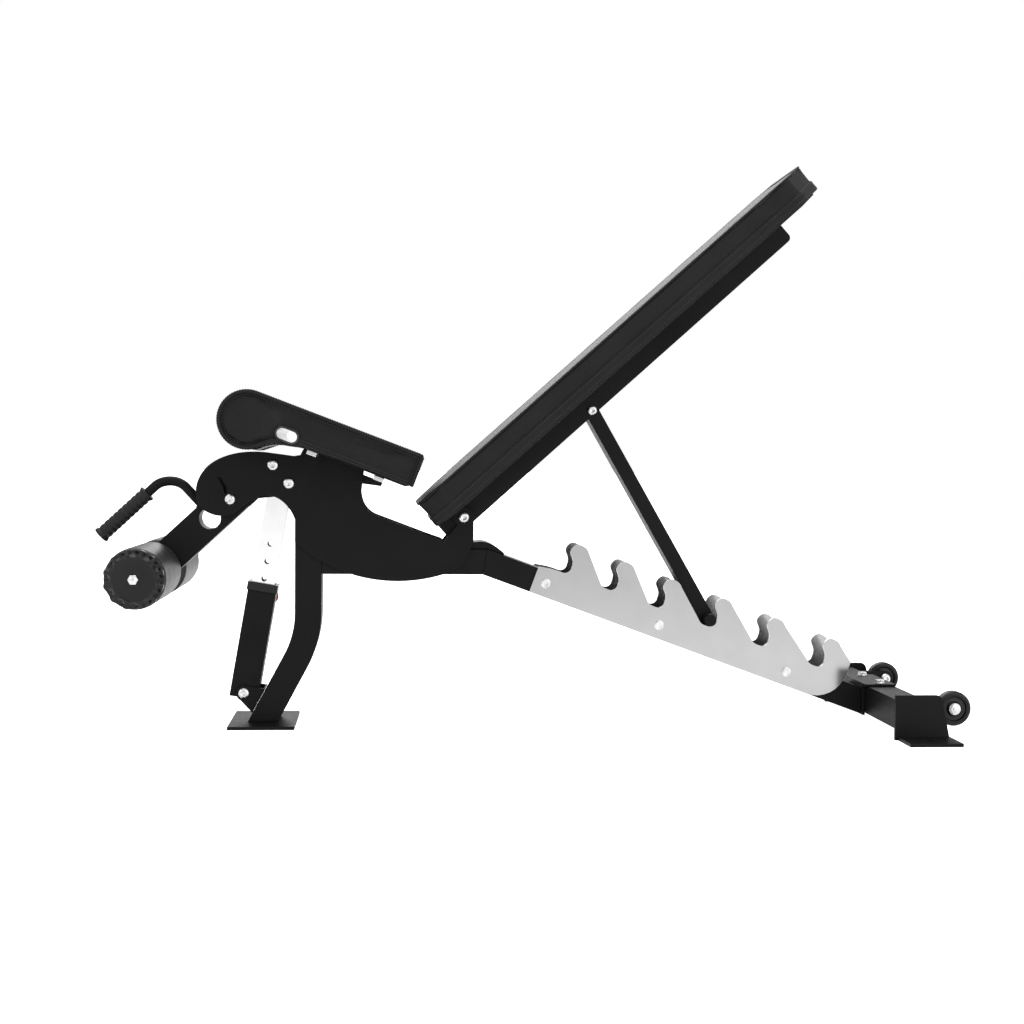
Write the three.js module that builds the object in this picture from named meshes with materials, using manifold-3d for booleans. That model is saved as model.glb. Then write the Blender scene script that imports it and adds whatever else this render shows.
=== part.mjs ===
// Adjustable weight bench with a ladder frame, a reclining back and a leg hold-down.
// Millimetres, +X from the rollers to the wheels, +Y across the bench, +Z up.
// The origin is the centre of the front foot's underside, on the floor.
import * as THREE from 'three';
import { mergeVertices } from 'three/addons/utils/BufferGeometryUtils.js';
import Module from 'manifold-3d';

const wasm = await Module();
wasm.setup();

// ---------------------------------------------------------------- driving dimensions

const jointGap = 0.3; // clear gap between pieces that touch
const runningGap = 0.8; // side clearance of pieces that turn between two walls
const holeGap = 0.4; // radial clearance of a bolt in its hole

// Frame tubes and plates
const frameTubeWidth = 76;
const frameTubeWall = 3;
const plateThickness = 5;
const legDepth = 47;
const legFrontX = 55;
const legTopZ = 392;
const legTilt = 28;
const legBendRadius = 183;
const beamHeight = 45;
const beamBottomZ = 268;
const kneeX = 387;
const spineSlope = 20;
const spineRunX = 695; // level distance from the knee to the rear tube

// Front foot and rear base
const footLength = 116;
const footWidth = 180;
const footThickness = 6;
const rearTubeSize = 50;
const rearTubeWall = 3;
const rearTubeLength = 430;
const rearTubeBottomZ = 20;
const rearFootLip = 67;
const rearFootThickness = 6;
const rearFootRise = 7; // height of the foot's upright above the rear tube
const saddleLength = 134;
const saddleThickness = 4;

// Wheels
const wheelRadius = 30;
const wheelWidth = 22;
const wheelTrack = 390;
const wheelBehind = 59; // wheel centre behind the rear tube's back face
const wheelAxleZ = 51;
const wheelAxleRadius = 5;
const wheelEarThickness = 6;

// Side plates and the two main pivots
const armPivot = { x: -58, z: 399 };
const backPivot = { x: 352, z: 370 };
const pivotBoltRadius = 6;
const bellyRadius = 273;
const bellyCentre = { x: 235, z: 529 };
const shoulderBolts = [{ name: 'front', x: 16, z: 460 }, { name: 'rear', x: 44, z: 428 }];
const smallBoltRadius = 5;
const boltHeadRadius = 10;
const boltHeadHeight = 6;

// Ladder
const ladderStart = 88; // along the spine from the knee
const ladderLength = 594;
const ladderFloor = 53.5; // height of the notch floors above the spine's underside
const toothHeight = 110;
const notchBackAngles = [94.5, 72.5, 57, 42, 26, 3]; // back angle with the pin in each notch
const ladderBoltStations = [22, 240, 488]; // along the ladder
const ladderBoltHeight = 24;

// Back rest
const backAngle = 42;
const backFrameWidth = 60;
const backFrameDepth = 36;
const backFrameWall = 3;
const backFrameRound = 9; // lower corner of the upper end
const backFrameTail = 44; // length below the pivot
const backFrameLength = 775; // length above the pivot
const backPadTail = 46;
const backPadLength = 896;
const backPadWidth = 280;
const backPadThickness = 54;
const backBoardThickness = 3;
const padCorner = 46;
const strutBolt = { s: 298.5, t: -10 };

// Strut
const strutLength = 432;
const strutDepth = 25;
const strutWidth = 48;
const strutWall = 2.5;
const strutPinRadius = 11;
const strutPinOverhang = 9; // beyond each ladder plate

// Seat
const seatSlope = 20.5;
const seatRollCentre = { x: -21, z: 537 };
const seatRollRadius = 51;
const seatTop = seatRollRadius; // above the roll's centre, square to the seat
const seatBottom = -11;
const seatLength = 303; // from the roll's centre to the rear end
const seatWidth = 280;
const seatSlot = { s: 72, h: -1, length: 36, height: 19 };
const seatFrameThickness = 4;
const seatBarWidth = 18;
const seatBarThickness = 8;
const seatBarLength = 200;
const seatBarStations = [120, 243];

// Leg hold-down arm, handle and rollers
const armAngle = 43; // below level, pointing away from the bench
const armDepth = 60;
const armWidth = 52;
const armWall = 3;
const armReach = 185; // pivot to roller axle
const armHoleRadius = 19;
const armHoleReach = 50;
const leverLength = 87;
const leverAngle = 12.6;
const leverEyeRadius = 13;
const handleRadius = 8.5;
const handleReach = 46; // handle root, along the arm from the pivot
const handleRise = 78;
const handleBendRadius = 38;
const handleEnd = 214;
const gripLength = 112;
const gripRadius = 12;
const gripFlangeRadius = 14.7;
const rollerRadius = 51;
const rollerInner = 35; // from the centre plane to each roller's inner face
const rollerLength = 213;
const rollerAxleRadius = 6;
const rollerCapLobes = 12;
const rollerCapThickness = 12;

// Telescopic post
const postPivot = { x: -34, z: 56 };
const sleeveSize = 50;
const sleeveWall = 3;
const sleeveLength = 181.7; // pivot to mouth
const sleeveTail = 9; // below the pivot
const collarSize = 54;
const collarHeight = 15;
const postTubeSize = 40;
const postTubeWall = 3;
const postHolePitch = 31.5;
const postHoleRadius = 5;
const postTubeInside = 82; // length of the inner tube that stays in the sleeve
const tongueWidth = 24;
const tongueLength = 30;
const topPinRadius = 4;
const knobRadius = 28;
const knobLength = 20;
const popPinRadius = 4;
const popPinBarrelRadius = 7;
const popPinBarrelLength = 12;
const popPinTravel = 8;
const popPinDrop = 8.5; // below the sleeve's mouth

// ---------------------------------------------------------------- worked-out places

const rad = THREE.MathUtils.degToRad;
const plateInner = frameTubeWidth / 2 + jointGap;
const plateOuter = plateInner + plateThickness;
const legX = legFrontX + legDepth / 2;
const legRearX = legFrontX + legDepth;
const footTop = footThickness + jointGap;
const rearTubeFrontX = kneeX + spineRunX;
const rearTubeBackX = rearTubeFrontX + rearTubeSize;
const rearTubeTopZ = rearTubeBottomZ + rearTubeSize;
const rearFootInner = rearTubeLength / 2 + jointGap;
const rearFootOuter = rearFootInner + rearFootThickness;

// ---------------------------------------------------------------- materials

const finish = (color, roughness, metalness) =>
  new THREE.MeshStandardMaterial({ color, roughness, metalness });
const finishes = {
  blackPaint: finish(0x1b1c1e, 0.45, 0.2),
  ladderSteel: finish(0xb9bbbd, 0.35, 0.9),
  chrome: finish(0xd9dadb, 0.15, 1),
  zinc: finish(0xc4c6c8, 0.3, 0.9),
  leather: finish(0x191a1b, 0.55, 0),
  board: finish(0x101011, 0.8, 0),
  foam: finish(0x2a2b2d, 0.6, 0),
  rubber: finish(0x151516, 0.8, 0),
  plastic: finish(0x121213, 0.5, 0),
  redPlastic: finish(0xb3161b, 0.4, 0),
};

// ---------------------------------------------------------------- solid helpers

// Six times the signed volume of a triangle mesh; below zero when its faces point in.
function signedVolume(positions, triangles) {
  const [a, b, c] = [new THREE.Vector3(), new THREE.Vector3(), new THREE.Vector3()];
  let total = 0;
  for (let i = 0; i < triangles.length; i += 3) {
    a.fromArray(positions, 3 * triangles[i]);
    b.fromArray(positions, 3 * triangles[i + 1]);
    c.fromArray(positions, 3 * triangles[i + 2]);
    total += a.dot(b.cross(c));
  }
  return total;
}

// A closed three.js geometry as a solid, without flat triangles and with its faces out.
function toSolid(geometry) {
  const plain = geometry.clone();
  plain.deleteAttribute('normal');
  plain.deleteAttribute('uv');
  const merged = mergeVertices(plain, 1e-4);
  const positions = merged.attributes.position.array;
  let triangles = [];
  for (let i = 0; i < merged.index.count; i += 3) {
    const [a, b, c] = [0, 1, 2].map((corner) => merged.index.getX(i + corner));
    if (a !== b && b !== c && c !== a) triangles.push(a, b, c);
  }
  if (signedVolume(positions, triangles) < 0) triangles = triangles.reverse();
  return new wasm.Manifold(new wasm.Mesh({
    numProp: 3,
    vertProperties: new Float32Array(positions),
    triVerts: new Uint32Array(triangles),
  }));
}

function toMesh(name, solid, material) {
  const data = solid.getMesh();
  const geometry = new THREE.BufferGeometry();
  geometry.setAttribute('position', new THREE.BufferAttribute(new Float32Array(data.vertProperties), 3));
  geometry.setIndex(new THREE.BufferAttribute(new Uint32Array(data.triVerts), 1));
  geometry.computeVertexNormals();
  const mesh = new THREE.Mesh(geometry, material);
  mesh.name = name;
  return mesh;
}

function join(first, ...others) {
  return others.reduce((solid, other) => solid.add(other), first);
}

function cut(first, ...others) {
  return others.reduce((solid, other) => solid.subtract(other), first);
}

// An outline drawn in X and Z, pushed from y0 to y1 across the bench.
function slab(shape, y0, y1, curveSegments = 12) {
  const geometry = new THREE.ExtrudeGeometry(shape, { depth: y1 - y0, bevelEnabled: false, curveSegments });
  return toSolid(geometry.rotateX(Math.PI / 2).translate(0, y1, 0));
}

function block(x0, x1, y0, y1, z0, z1) {
  const geometry = new THREE.BoxGeometry(x1 - x0, y1 - y0, z1 - z0);
  return toSolid(geometry.translate((x0 + x1) / 2, (y0 + y1) / 2, (z0 + z1) / 2));
}

// A round bar across the bench.
function bar(x, z, radius, y0, y1, sides = 16) {
  const geometry = new THREE.CylinderGeometry(radius, radius, y1 - y0, sides);
  return toSolid(geometry.translate(x, (y0 + y1) / 2, z));
}

// A round bar standing up.
function upright(x, y, radius, z0, z1, sides = 16) {
  const geometry = new THREE.CylinderGeometry(radius, radius, z1 - z0, sides);
  return toSolid(geometry.rotateX(Math.PI / 2).translate(x, y, (z0 + z1) / 2));
}

function outline(points) {
  return new THREE.Shape(points.map(([x, z]) => new THREE.Vector2(x, z)));
}

// A turned outline about the Y axis: pairs of radius and place across the bench.
function turned(x, z, profile, sides = 32) {
  const points = profile.map(([radius, y]) => new THREE.Vector2(radius, y));
  return toSolid(new THREE.LatheGeometry(points, sides).translate(x, 0, z));
}

// A rectangle in plan with cut corners, pushed up from z0 to z1.
function paddedBlock(x0, x1, width, z0, z1, corner) {
  const half = width / 2;
  const plan = outline([
    [x0, -half + corner], [x0 + corner, -half], [x1 - corner, -half], [x1, -half + corner],
    [x1, half - corner], [x1 - corner, half], [x0 + corner, half], [x0, half - corner],
  ]);
  const geometry = new THREE.ExtrudeGeometry(plan, { depth: z1 - z0, bevelEnabled: false });
  return toSolid(geometry.translate(0, 0, z0));
}

// A bolt across the bench: domed head outside headY, shank, and hexagon nut beyond nutY.
function crossBolt(x, z, radius, headY, nutY, headRadius = boltHeadRadius, headHeight = boltHeadHeight) {
  const way = Math.sign(nutY - headY);
  const overlap = 0.5;
  const head = turned(x, z, [
    [0, headY - way * headHeight], [headRadius * 0.55, headY - way * headHeight * 0.92],
    [headRadius * 0.88, headY - way * headHeight * 0.6], [headRadius, headY], [0, headY],
  ], 16);
  const ends = (from, to) => [Math.min(from, to), Math.max(from, to)];
  const shank = bar(x, z, radius, ...ends(headY - way * overlap, nutY + way * overlap), 12);
  const nut = bar(x, z, headRadius * 0.92, ...ends(nutY, nutY + way * headHeight), 6);
  return join(head, shank, nut);
}

// A group whose own X axis points up at an angle from level.
function tiltedGroup(name, origin, angle) {
  const group = new THREE.Group();
  group.name = name;
  group.position.set(origin.x, 0, origin.z);
  group.rotation.y = -rad(angle);
  return group;
}

function place(group, name, solid, material) {
  group.add(toMesh(name, solid, material));
}

const bench = new THREE.Group();
bench.name = 'bench';

const sides = [{ name: 'left', sign: -1 }, { name: 'right', sign: 1 }];

// The two y values of a span from near to far of the centre plane, in order, on one side.
const span = (sign, near, far) => (sign < 0 ? [-far, -near] : [near, far]);

// ---------------------------------------------------------------- front leg and foot

function legOutline(inset, overrun) {
  const half = legDepth / 2 - inset;
  const tilt = rad(legTilt);
  const straight = (legX) / Math.sin(tilt) - legBendRadius * (1 - Math.cos(tilt)) / Math.sin(tilt);
  const bendZ = footTop + straight * Math.cos(tilt) + legBendRadius * Math.sin(tilt);
  const centre = { x: legX - legBendRadius, z: bendZ };
  const foot = (radius) => {
    const endX = centre.x + radius * Math.cos(tilt);
    const endZ = centre.z - radius * Math.sin(tilt);
    const drop = (endZ - footTop + overrun) / Math.cos(tilt);
    return [endX - drop * Math.sin(tilt), endZ - drop * Math.cos(tilt)];
  };
  const shape = new THREE.Shape();
  const outer = legBendRadius + half;
  const inner = legBendRadius - half;
  shape.moveTo(legX + half, legTopZ + overrun);
  shape.lineTo(legX - half, legTopZ + overrun);
  shape.lineTo(legX - half, bendZ);
  shape.absarc(centre.x, centre.z, inner, 0, -tilt, true);
  shape.lineTo(...foot(inner));
  shape.lineTo(...foot(outer));
  shape.absarc(centre.x, centre.z, outer, -tilt, 0, false);
  return shape;
}

const legHalf = frameTubeWidth / 2;
place(bench, 'front_leg', cut(
  slab(legOutline(0, 0), -legHalf, legHalf, 8),
  slab(legOutline(frameTubeWall, 20), -legHalf + frameTubeWall, legHalf - frameTubeWall, 8),
), finishes.blackPaint);

place(bench, 'front_foot_plate', block(
  -footLength / 2, footLength / 2, -footWidth / 2, footWidth / 2, 0, footThickness,
), finishes.blackPaint);

// ---------------------------------------------------------------- beam and spine

const slope = rad(spineSlope);
const knee = { x: kneeX, z: beamBottomZ };
const mitre = Math.tan(slope / 2);

function beamOutline(inset, overrun) {
  const low = beamBottomZ + inset;
  const high = beamBottomZ + beamHeight - inset;
  const kneeAt = (z) => kneeX + (z - beamBottomZ) * mitre - jointGap / 2 + overrun;
  return outline([[legRearX + jointGap - overrun, low], [kneeAt(low), low], [kneeAt(high), high],
    [legRearX + jointGap - overrun, high]]);
}

// Points of the spine: v is the height above its underside, square to the slope.
function spineAt(x, v) {
  return [x, beamBottomZ - (x - kneeX) * Math.tan(slope) + v / Math.cos(slope)];
}

function spineOutline(inset, overrun) {
  const rearX = rearTubeFrontX - 2 * jointGap - plateThickness + overrun;
  const kneeAt = (v) => kneeX + v * mitre + jointGap / 2 - overrun;
  return outline([spineAt(kneeAt(inset), inset), spineAt(rearX, inset),
    spineAt(rearX, beamHeight - inset), spineAt(kneeAt(beamHeight - inset), beamHeight - inset)]);
}

// A point u along the spine's underside from the knee and v square above it, in the world.
function fromSpine(u, v) {
  return [kneeX + u * Math.cos(slope) + v * Math.sin(slope), beamBottomZ - u * Math.sin(slope) + v * Math.cos(slope)];
}

for (const [name, shape] of [['main_beam', beamOutline], ['spine_tube', spineOutline]]) {
  place(bench, name, cut(
    slab(shape(0, 0), -legHalf, legHalf),
    slab(shape(frameTubeWall, 10), -legHalf + frameTubeWall, legHalf - frameTubeWall),
    ...ladderBoltStations.map((station) => bar(...fromSpine(ladderStart + station, ladderBoltHeight),
      smallBoltRadius + holeGap, -60, 60, 12)),
  ), finishes.blackPaint);
}

// Upright plate that closes the spine's rear end, and the saddle over the rear tube.
const saddleTopZ = rearTubeTopZ + jointGap + saddleThickness;
const rearSaddle = join(
  block(rearTubeFrontX - jointGap - plateThickness, rearTubeFrontX - jointGap,
    -plateOuter - 6, plateOuter + 6, rearTubeBottomZ - 4, saddleTopZ),
  block(rearTubeFrontX - jointGap - plateThickness, rearTubeBackX,
    -saddleLength / 2, saddleLength / 2, saddleTopZ - saddleThickness, saddleTopZ),
);
const saddleBoltX = rearTubeFrontX + rearTubeSize / 2;
const saddleBoltY = saddleLength / 2 - 14;
place(bench, 'rear_saddle', cut(rearSaddle, ...sides.map(({ sign }) =>
  upright(saddleBoltX, sign * saddleBoltY, smallBoltRadius + holeGap, 0, 200, 16))), finishes.blackPaint);

// A short bent strap over the knee, where the spine leaves the side plates.
const beamTopZ = beamBottomZ + beamHeight;
const strapStartX = kneeX - 25;
const strapEndX = kneeX + 38;
function kneeStrapOutline() {
  const kneeTop = spineAt(kneeX + beamHeight * mitre, beamHeight + jointGap);
  const shape = outline([[strapStartX, beamTopZ + jointGap], kneeTop, spineAt(strapEndX, beamHeight + jointGap),
    spineAt(strapEndX, beamHeight + 4)]);
  shape.bezierCurveTo(kneeX + 20, beamTopZ + 8, kneeX + 8, beamTopZ + 14, kneeX - 4, beamTopZ + 13.5);
  shape.bezierCurveTo(kneeX - 12, beamTopZ + 13, kneeX - 18, beamTopZ + 12, strapStartX, beamTopZ + 9);
  return shape;
}
place(bench, 'knee_strap', slab(kneeStrapOutline(), -legHalf + 4, legHalf - 4, 8), finishes.blackPaint);

// ---------------------------------------------------------------- side plates

const earRadius = 17.5; // round the back pivot
const earRootDrop = 84; // below the back pivot, where the ear meets the belly
const padSweepGap = 5; // clear of the back pad's lower corner as the back turns
const padSweepStart = 231;
const padSweepStop = 227;
const seatRestStart = 102; // along the seat, where the side plates carry it
const seatRestEnd = 213;
const padSweep = Math.hypot(backPadTail, backFrameDepth / 2 + 2) + padSweepGap;

function sidePlateOutline() {
  const shape = new THREE.Shape();
  const seat = (s, h) => [
    seatRollCentre.x + s * Math.cos(rad(seatSlope)) + h * Math.sin(rad(seatSlope)),
    seatRollCentre.z - s * Math.sin(rad(seatSlope)) + h * Math.cos(rad(seatSlope)),
  ];
  const rest = seatBottom - jointGap;
  const notch = rest - seatBarThickness - jointGap;
  const notchHalf = seatBarWidth / 2 + jointGap;
  const bellyStart = Math.acos((legFrontX - bellyCentre.x) / bellyRadius);
  const bellyEnd = rad(-68.5);
  const { x: px, z: pz } = backPivot;
  const { x: ax, z: az } = armPivot;
  // belly, from the leg's front face round to below the back pivot
  shape.moveTo(legFrontX, bellyCentre.z - bellyRadius * Math.sin(bellyStart));
  shape.absarc(bellyCentre.x, bellyCentre.z, bellyRadius, -bellyStart, bellyEnd, false);
  shape.lineTo(px + 1, pz - earRootDrop);
  shape.lineTo(px + earRadius, pz - 45);
  // ear round the back pivot
  shape.absarc(px, pz, earRadius, 0, rad(padSweepStart), false);
  // hollow under the lower end of the back pad
  shape.absarc(px, pz, padSweep, rad(padSweepStart), rad(padSweepStop), true);
  shape.lineTo(px - 65, pz - 31);
  shape.lineTo(px - 156, pz + 3);
  shape.quadraticCurveTo(px - 180, pz + 14, px - 182, pz + 45);
  // seat support, notched round the front seat bar
  shape.lineTo(...seat(seatRestEnd, rest));
  shape.lineTo(...seat(seatBarStations[0] + notchHalf, rest));
  shape.lineTo(...seat(seatBarStations[0] + notchHalf, notch));
  shape.lineTo(...seat(seatBarStations[0] - notchHalf, notch));
  shape.lineTo(...seat(seatBarStations[0] - notchHalf, rest));
  shape.lineTo(...seat(seatRestStart, rest));
  shape.lineTo(ax + 120, az + 75);
  // shoulder
  shape.quadraticCurveTo(ax + 94, az + 79, ax + 52, az + 84);
  shape.bezierCurveTo(ax + 10, az + 86, ax - 24, az + 74, ax - 42, az + 55);
  shape.bezierCurveTo(ax - 66, az + 30, ax - 64, az - 6, ax - 44, az - 20);
  shape.bezierCurveTo(ax - 26, az - 32, ax - 2, az - 33, ax + 14, az - 18);
  shape.quadraticCurveTo(ax + 30, az - 3, ax + 54, az + 7);
  // arch over the post, down to the leg
  shape.bezierCurveTo(ax + 84, az + 12, legFrontX - 8, az - 12, legFrontX, az - 35);
  return shape;
}

const shoulderSlot = outline([[-80, 437], [-75, 438], [-64, 420], [-64, 409], [-68, 410], [-70, 421]]
  .map(([x, z]) => [x + armPivot.x + 58, z + armPivot.z - 399]));

for (const { name, sign } of sides) {
  const [y0, y1] = span(sign, plateInner, plateOuter);
  const holes = [
    bar(armPivot.x, armPivot.z, pivotBoltRadius + holeGap, -60, 60),
    bar(backPivot.x, backPivot.z, pivotBoltRadius + holeGap, -60, 60),
    ...shoulderBolts.map((bolt) => bar(bolt.x, bolt.z, smallBoltRadius + holeGap, -60, 60, 12)),
    slab(shoulderSlot, -60, 60),
  ];
  place(bench, `side_plate_${name}`, cut(slab(sidePlateOutline(), y0, y1, 12), ...holes), finishes.blackPaint);
}

for (const bolt of shoulderBolts) {
  for (const { name, sign } of sides) {
    const inner = plateInner - jointGap - seatFrameThickness - jointGap;
    const outer = plateOuter + jointGap;
    const solid = crossBolt(bolt.x, bolt.z, smallBoltRadius, sign * outer, sign * inner, boltHeadRadius, 5);
    place(bench, `shoulder_bolt_${bolt.name}_${name}`, solid, finishes.zinc);
  }
}

place(bench, 'arm_pivot_bolt', crossBolt(armPivot.x, armPivot.z, pivotBoltRadius,
  -plateOuter - jointGap, plateOuter + jointGap), finishes.zinc);
place(bench, 'back_pivot_bolt', crossBolt(backPivot.x, backPivot.z, pivotBoltRadius,
  -plateOuter - jointGap, plateOuter + jointGap), finishes.zinc);

// ---------------------------------------------------------------- seat

const seatGroup = tiltedGroup('seat', seatRollCentre, -seatSlope);
bench.add(seatGroup);

function seatOutline() {
  const shape = new THREE.Shape();
  const r = seatRollRadius;
  const corner = 6;
  shape.moveTo(seatLength, seatBottom + corner);
  shape.lineTo(seatLength, seatTop - corner);
  shape.absarc(seatLength - corner, seatTop - corner, corner, 0, Math.PI / 2, false);
  shape.absarc(0, 0, r, Math.PI / 2, rad(300), false);
  shape.quadraticCurveTo(seatSlot.s - 26, seatBottom - 10, seatSlot.s + 6, seatBottom - 6);
  shape.lineTo(seatSlot.s + 30, seatBottom);
  shape.lineTo(seatLength - corner, seatBottom);
  shape.absarc(seatLength - corner, seatBottom + corner, corner, -Math.PI / 2, 0, false);
  return shape;
}

function slotOutline({ s, h, length, height }) {
  const shape = new THREE.Shape();
  const reach = (length - height) / 2;
  shape.absarc(s + reach, h, height / 2, -Math.PI / 2, Math.PI / 2, false);
  shape.absarc(s - reach, h, height / 2, Math.PI / 2, Math.PI * 1.5, false);
  return shape;
}

place(seatGroup, 'seat_cushion', cut(
  slab(seatOutline(), -seatWidth / 2, seatWidth / 2, 10),
  slab(slotOutline(seatSlot), -seatWidth, seatWidth, 8),
), finishes.leather);

// The place of a world point in a tilted group's own X and Z.
function inGroup(origin, angle, x, z) {
  const [dx, dz] = [x - origin.x, z - origin.z];
  const a = rad(angle);
  return [dx * Math.cos(a) + dz * Math.sin(a), -dx * Math.sin(a) + dz * Math.cos(a)];
}

const barTop = seatBottom - jointGap;
seatBarStations.forEach((station, index) => {
  place(seatGroup, `seat_bar_${index === 0 ? 'front' : 'rear'}`, block(
    station - seatBarWidth / 2, station + seatBarWidth / 2, -seatBarLength / 2, seatBarLength / 2,
    barTop - seatBarThickness, barTop,
  ), finishes.zinc);
});

// Two cheeks inside the side plates carry the seat bars, bolted through the shoulders.
const cheekBolts = shoulderBolts.map(({ x, z }) => inGroup(seatRollCentre, -seatSlope, x, z));

function seatCheekOutline() {
  const [front, rear] = cheekBolts;
  const top = barTop - seatBarThickness - jointGap;
  const edge = boltHeadRadius + 4;
  const rearEnd = seatBarStations[1] + seatBarWidth / 2;
  return outline([
    [front[0] - edge, front[1] - 4], [front[0] - 4, front[1] - edge], [rear[0] - 6, rear[1] - edge],
    [rear[0] + edge, rear[1] - 8], [seatRestEnd, top - 16], [rearEnd, top - 7], [rearEnd, top],
    [seatBarStations[0] - seatBarWidth / 2, top], [front[0] + 4, front[1] + edge],
    [front[0] - edge, front[1] + 6],
  ]);
}

for (const { name, sign } of sides) {
  const [y0, y1] = span(sign, plateInner - jointGap - seatFrameThickness, plateInner - jointGap);
  const holes = cheekBolts.map(([s, h]) => bar(s, h, smallBoltRadius + holeGap, -60, 60, 12));
  place(seatGroup, `seat_cheek_${name}`, cut(slab(seatCheekOutline(), y0, y1), ...holes), finishes.blackPaint);
}

// ---------------------------------------------------------------- rear base and wheels

const wheelX = rearTubeBackX + wheelBehind;
const wheelOuterY = wheelTrack / 2 + wheelWidth / 2;
const wheelInnerY = wheelTrack / 2 - wheelWidth / 2;
const earOuterY = wheelInnerY - runningGap;
const earInnerY = earOuterY - wheelEarThickness;

function wheelEarOutline() {
  const shape = new THREE.Shape();
  const round = 3 * wheelAxleRadius;
  shape.moveTo(rearTubeBackX - rearTubeWall / 2, rearTubeBottomZ + 8);
  shape.lineTo(wheelX, wheelAxleZ - round);
  shape.absarc(wheelX, wheelAxleZ, round, -Math.PI / 2, Math.PI / 2, false);
  shape.lineTo(rearTubeBackX - rearTubeWall / 2, rearTubeTopZ - 4);
  return shape;
}

const rearTube = cut(
  block(rearTubeFrontX, rearTubeBackX, -rearTubeLength / 2, rearTubeLength / 2, rearTubeBottomZ, rearTubeTopZ),
  block(rearTubeFrontX + rearTubeWall, rearTubeBackX - rearTubeWall, -rearTubeLength, rearTubeLength,
    rearTubeBottomZ + rearTubeWall, rearTubeTopZ - rearTubeWall),
);
place(bench, 'rear_cross_tube', cut(
  join(rearTube, ...sides.map(({ sign }) => slab(wheelEarOutline(), ...span(sign, earInnerY, earOuterY), 6))),
  ...sides.map(({ sign }) => bar(wheelX, wheelAxleZ, wheelAxleRadius + holeGap, ...span(sign, 100, 300), 16)),
  ...sides.map(({ sign }) => upright(saddleBoltX, sign * saddleBoltY, smallBoltRadius + holeGap,
    rearTubeTopZ - 10, rearTubeTopZ + 10, 16)),
), finishes.blackPaint);

for (const { name, sign } of sides) {
  const head = upright(saddleBoltX, sign * saddleBoltY, boltHeadRadius - 1, saddleTopZ + jointGap,
    saddleTopZ + jointGap + 6, 6);
  const shank = upright(saddleBoltX, sign * saddleBoltY, smallBoltRadius, rearTubeTopZ - rearTubeWall - 6,
    saddleTopZ + 1, 16);
  place(bench, `rear_saddle_bolt_${name}`, join(head, shank), finishes.zinc);
}

const footRearX = rearTubeBackX + 46;

function rearFootOutline() {
  const top = rearTubeTopZ + rearFootRise;
  const round = 12;
  const shape = new THREE.Shape();
  shape.moveTo(rearTubeFrontX, 0);
  shape.lineTo(footRearX, 0);
  shape.lineTo(footRearX - 13, top - round);
  shape.quadraticCurveTo(footRearX - 15, top, footRearX - 13 - round, top);
  shape.lineTo(rearTubeFrontX, top);
  return shape;
}

for (const { name, sign } of sides) {
  const wall = slab(rearFootOutline(), ...span(sign, rearFootInner, rearFootOuter), 6);
  const lip = block(rearTubeFrontX + 5, footRearX, ...span(sign, rearFootInner + 1, rearFootOuter + rearFootLip),
    0, rearFootThickness);
  const hole = upright((rearTubeFrontX + footRearX) / 2, sign * (rearFootOuter + rearFootLip / 2), 6, -5, 20, 20);
  place(bench, `rear_foot_${name}`, cut(join(wall, lip), hole), finishes.blackPaint);
}

for (const { name, sign } of sides) {
  const hub = wheelAxleRadius + runningGap / 2;
  const tread = wheelRadius;
  const half = wheelWidth / 2;
  const y = sign * wheelTrack / 2;
  const wheel = turned(wheelX, wheelAxleZ, [
    [hub, y - half], [hub + 8, y - half], [hub + 9, y - half + 3], [tread - 9, y - half + 3],
    [tread - 8, y - half + 1], [tread - 3, y - half + 1], [tread, y - half + 4], [tread, y + half - 4],
    [tread - 3, y + half - 1], [tread - 8, y + half - 1], [tread - 9, y + half - 3], [hub + 9, y + half - 3],
    [hub + 8, y + half], [hub, y + half], [hub, y - half],
  ], 24);
  place(bench, `wheel_${name}`, wheel, finishes.plastic);
  const axle = crossBolt(wheelX, wheelAxleZ, wheelAxleRadius, sign * (earInnerY - jointGap),
    sign * (wheelOuterY + runningGap), boltHeadRadius, 6);
  place(bench, `wheel_axle_${name}`, axle, finishes.zinc);
}

// ---------------------------------------------------------------- ladder

const spineGroup = tiltedGroup('spine', knee, -spineSlope);
bench.add(spineGroup);

// Where the strut's top bolt is, in the world, with the back at an angle from level.
function strutTop(angle) {
  const a = rad(angle);
  return {
    x: backPivot.x + strutBolt.s * Math.cos(a) - strutBolt.t * Math.sin(a),
    z: backPivot.z + strutBolt.s * Math.sin(a) + strutBolt.t * Math.cos(a),
  };
}

// The pin's place along the spine when the strut stands in the notch for a back angle.
const pinHeight = ladderFloor + strutPinRadius;
function notchPlace(angle) {
  const top = strutTop(angle);
  const [u, v] = inGroup(knee, -spineSlope, top.x, top.z);
  return u + Math.sqrt(strutLength ** 2 - (v - pinHeight) ** 2);
}

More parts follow.
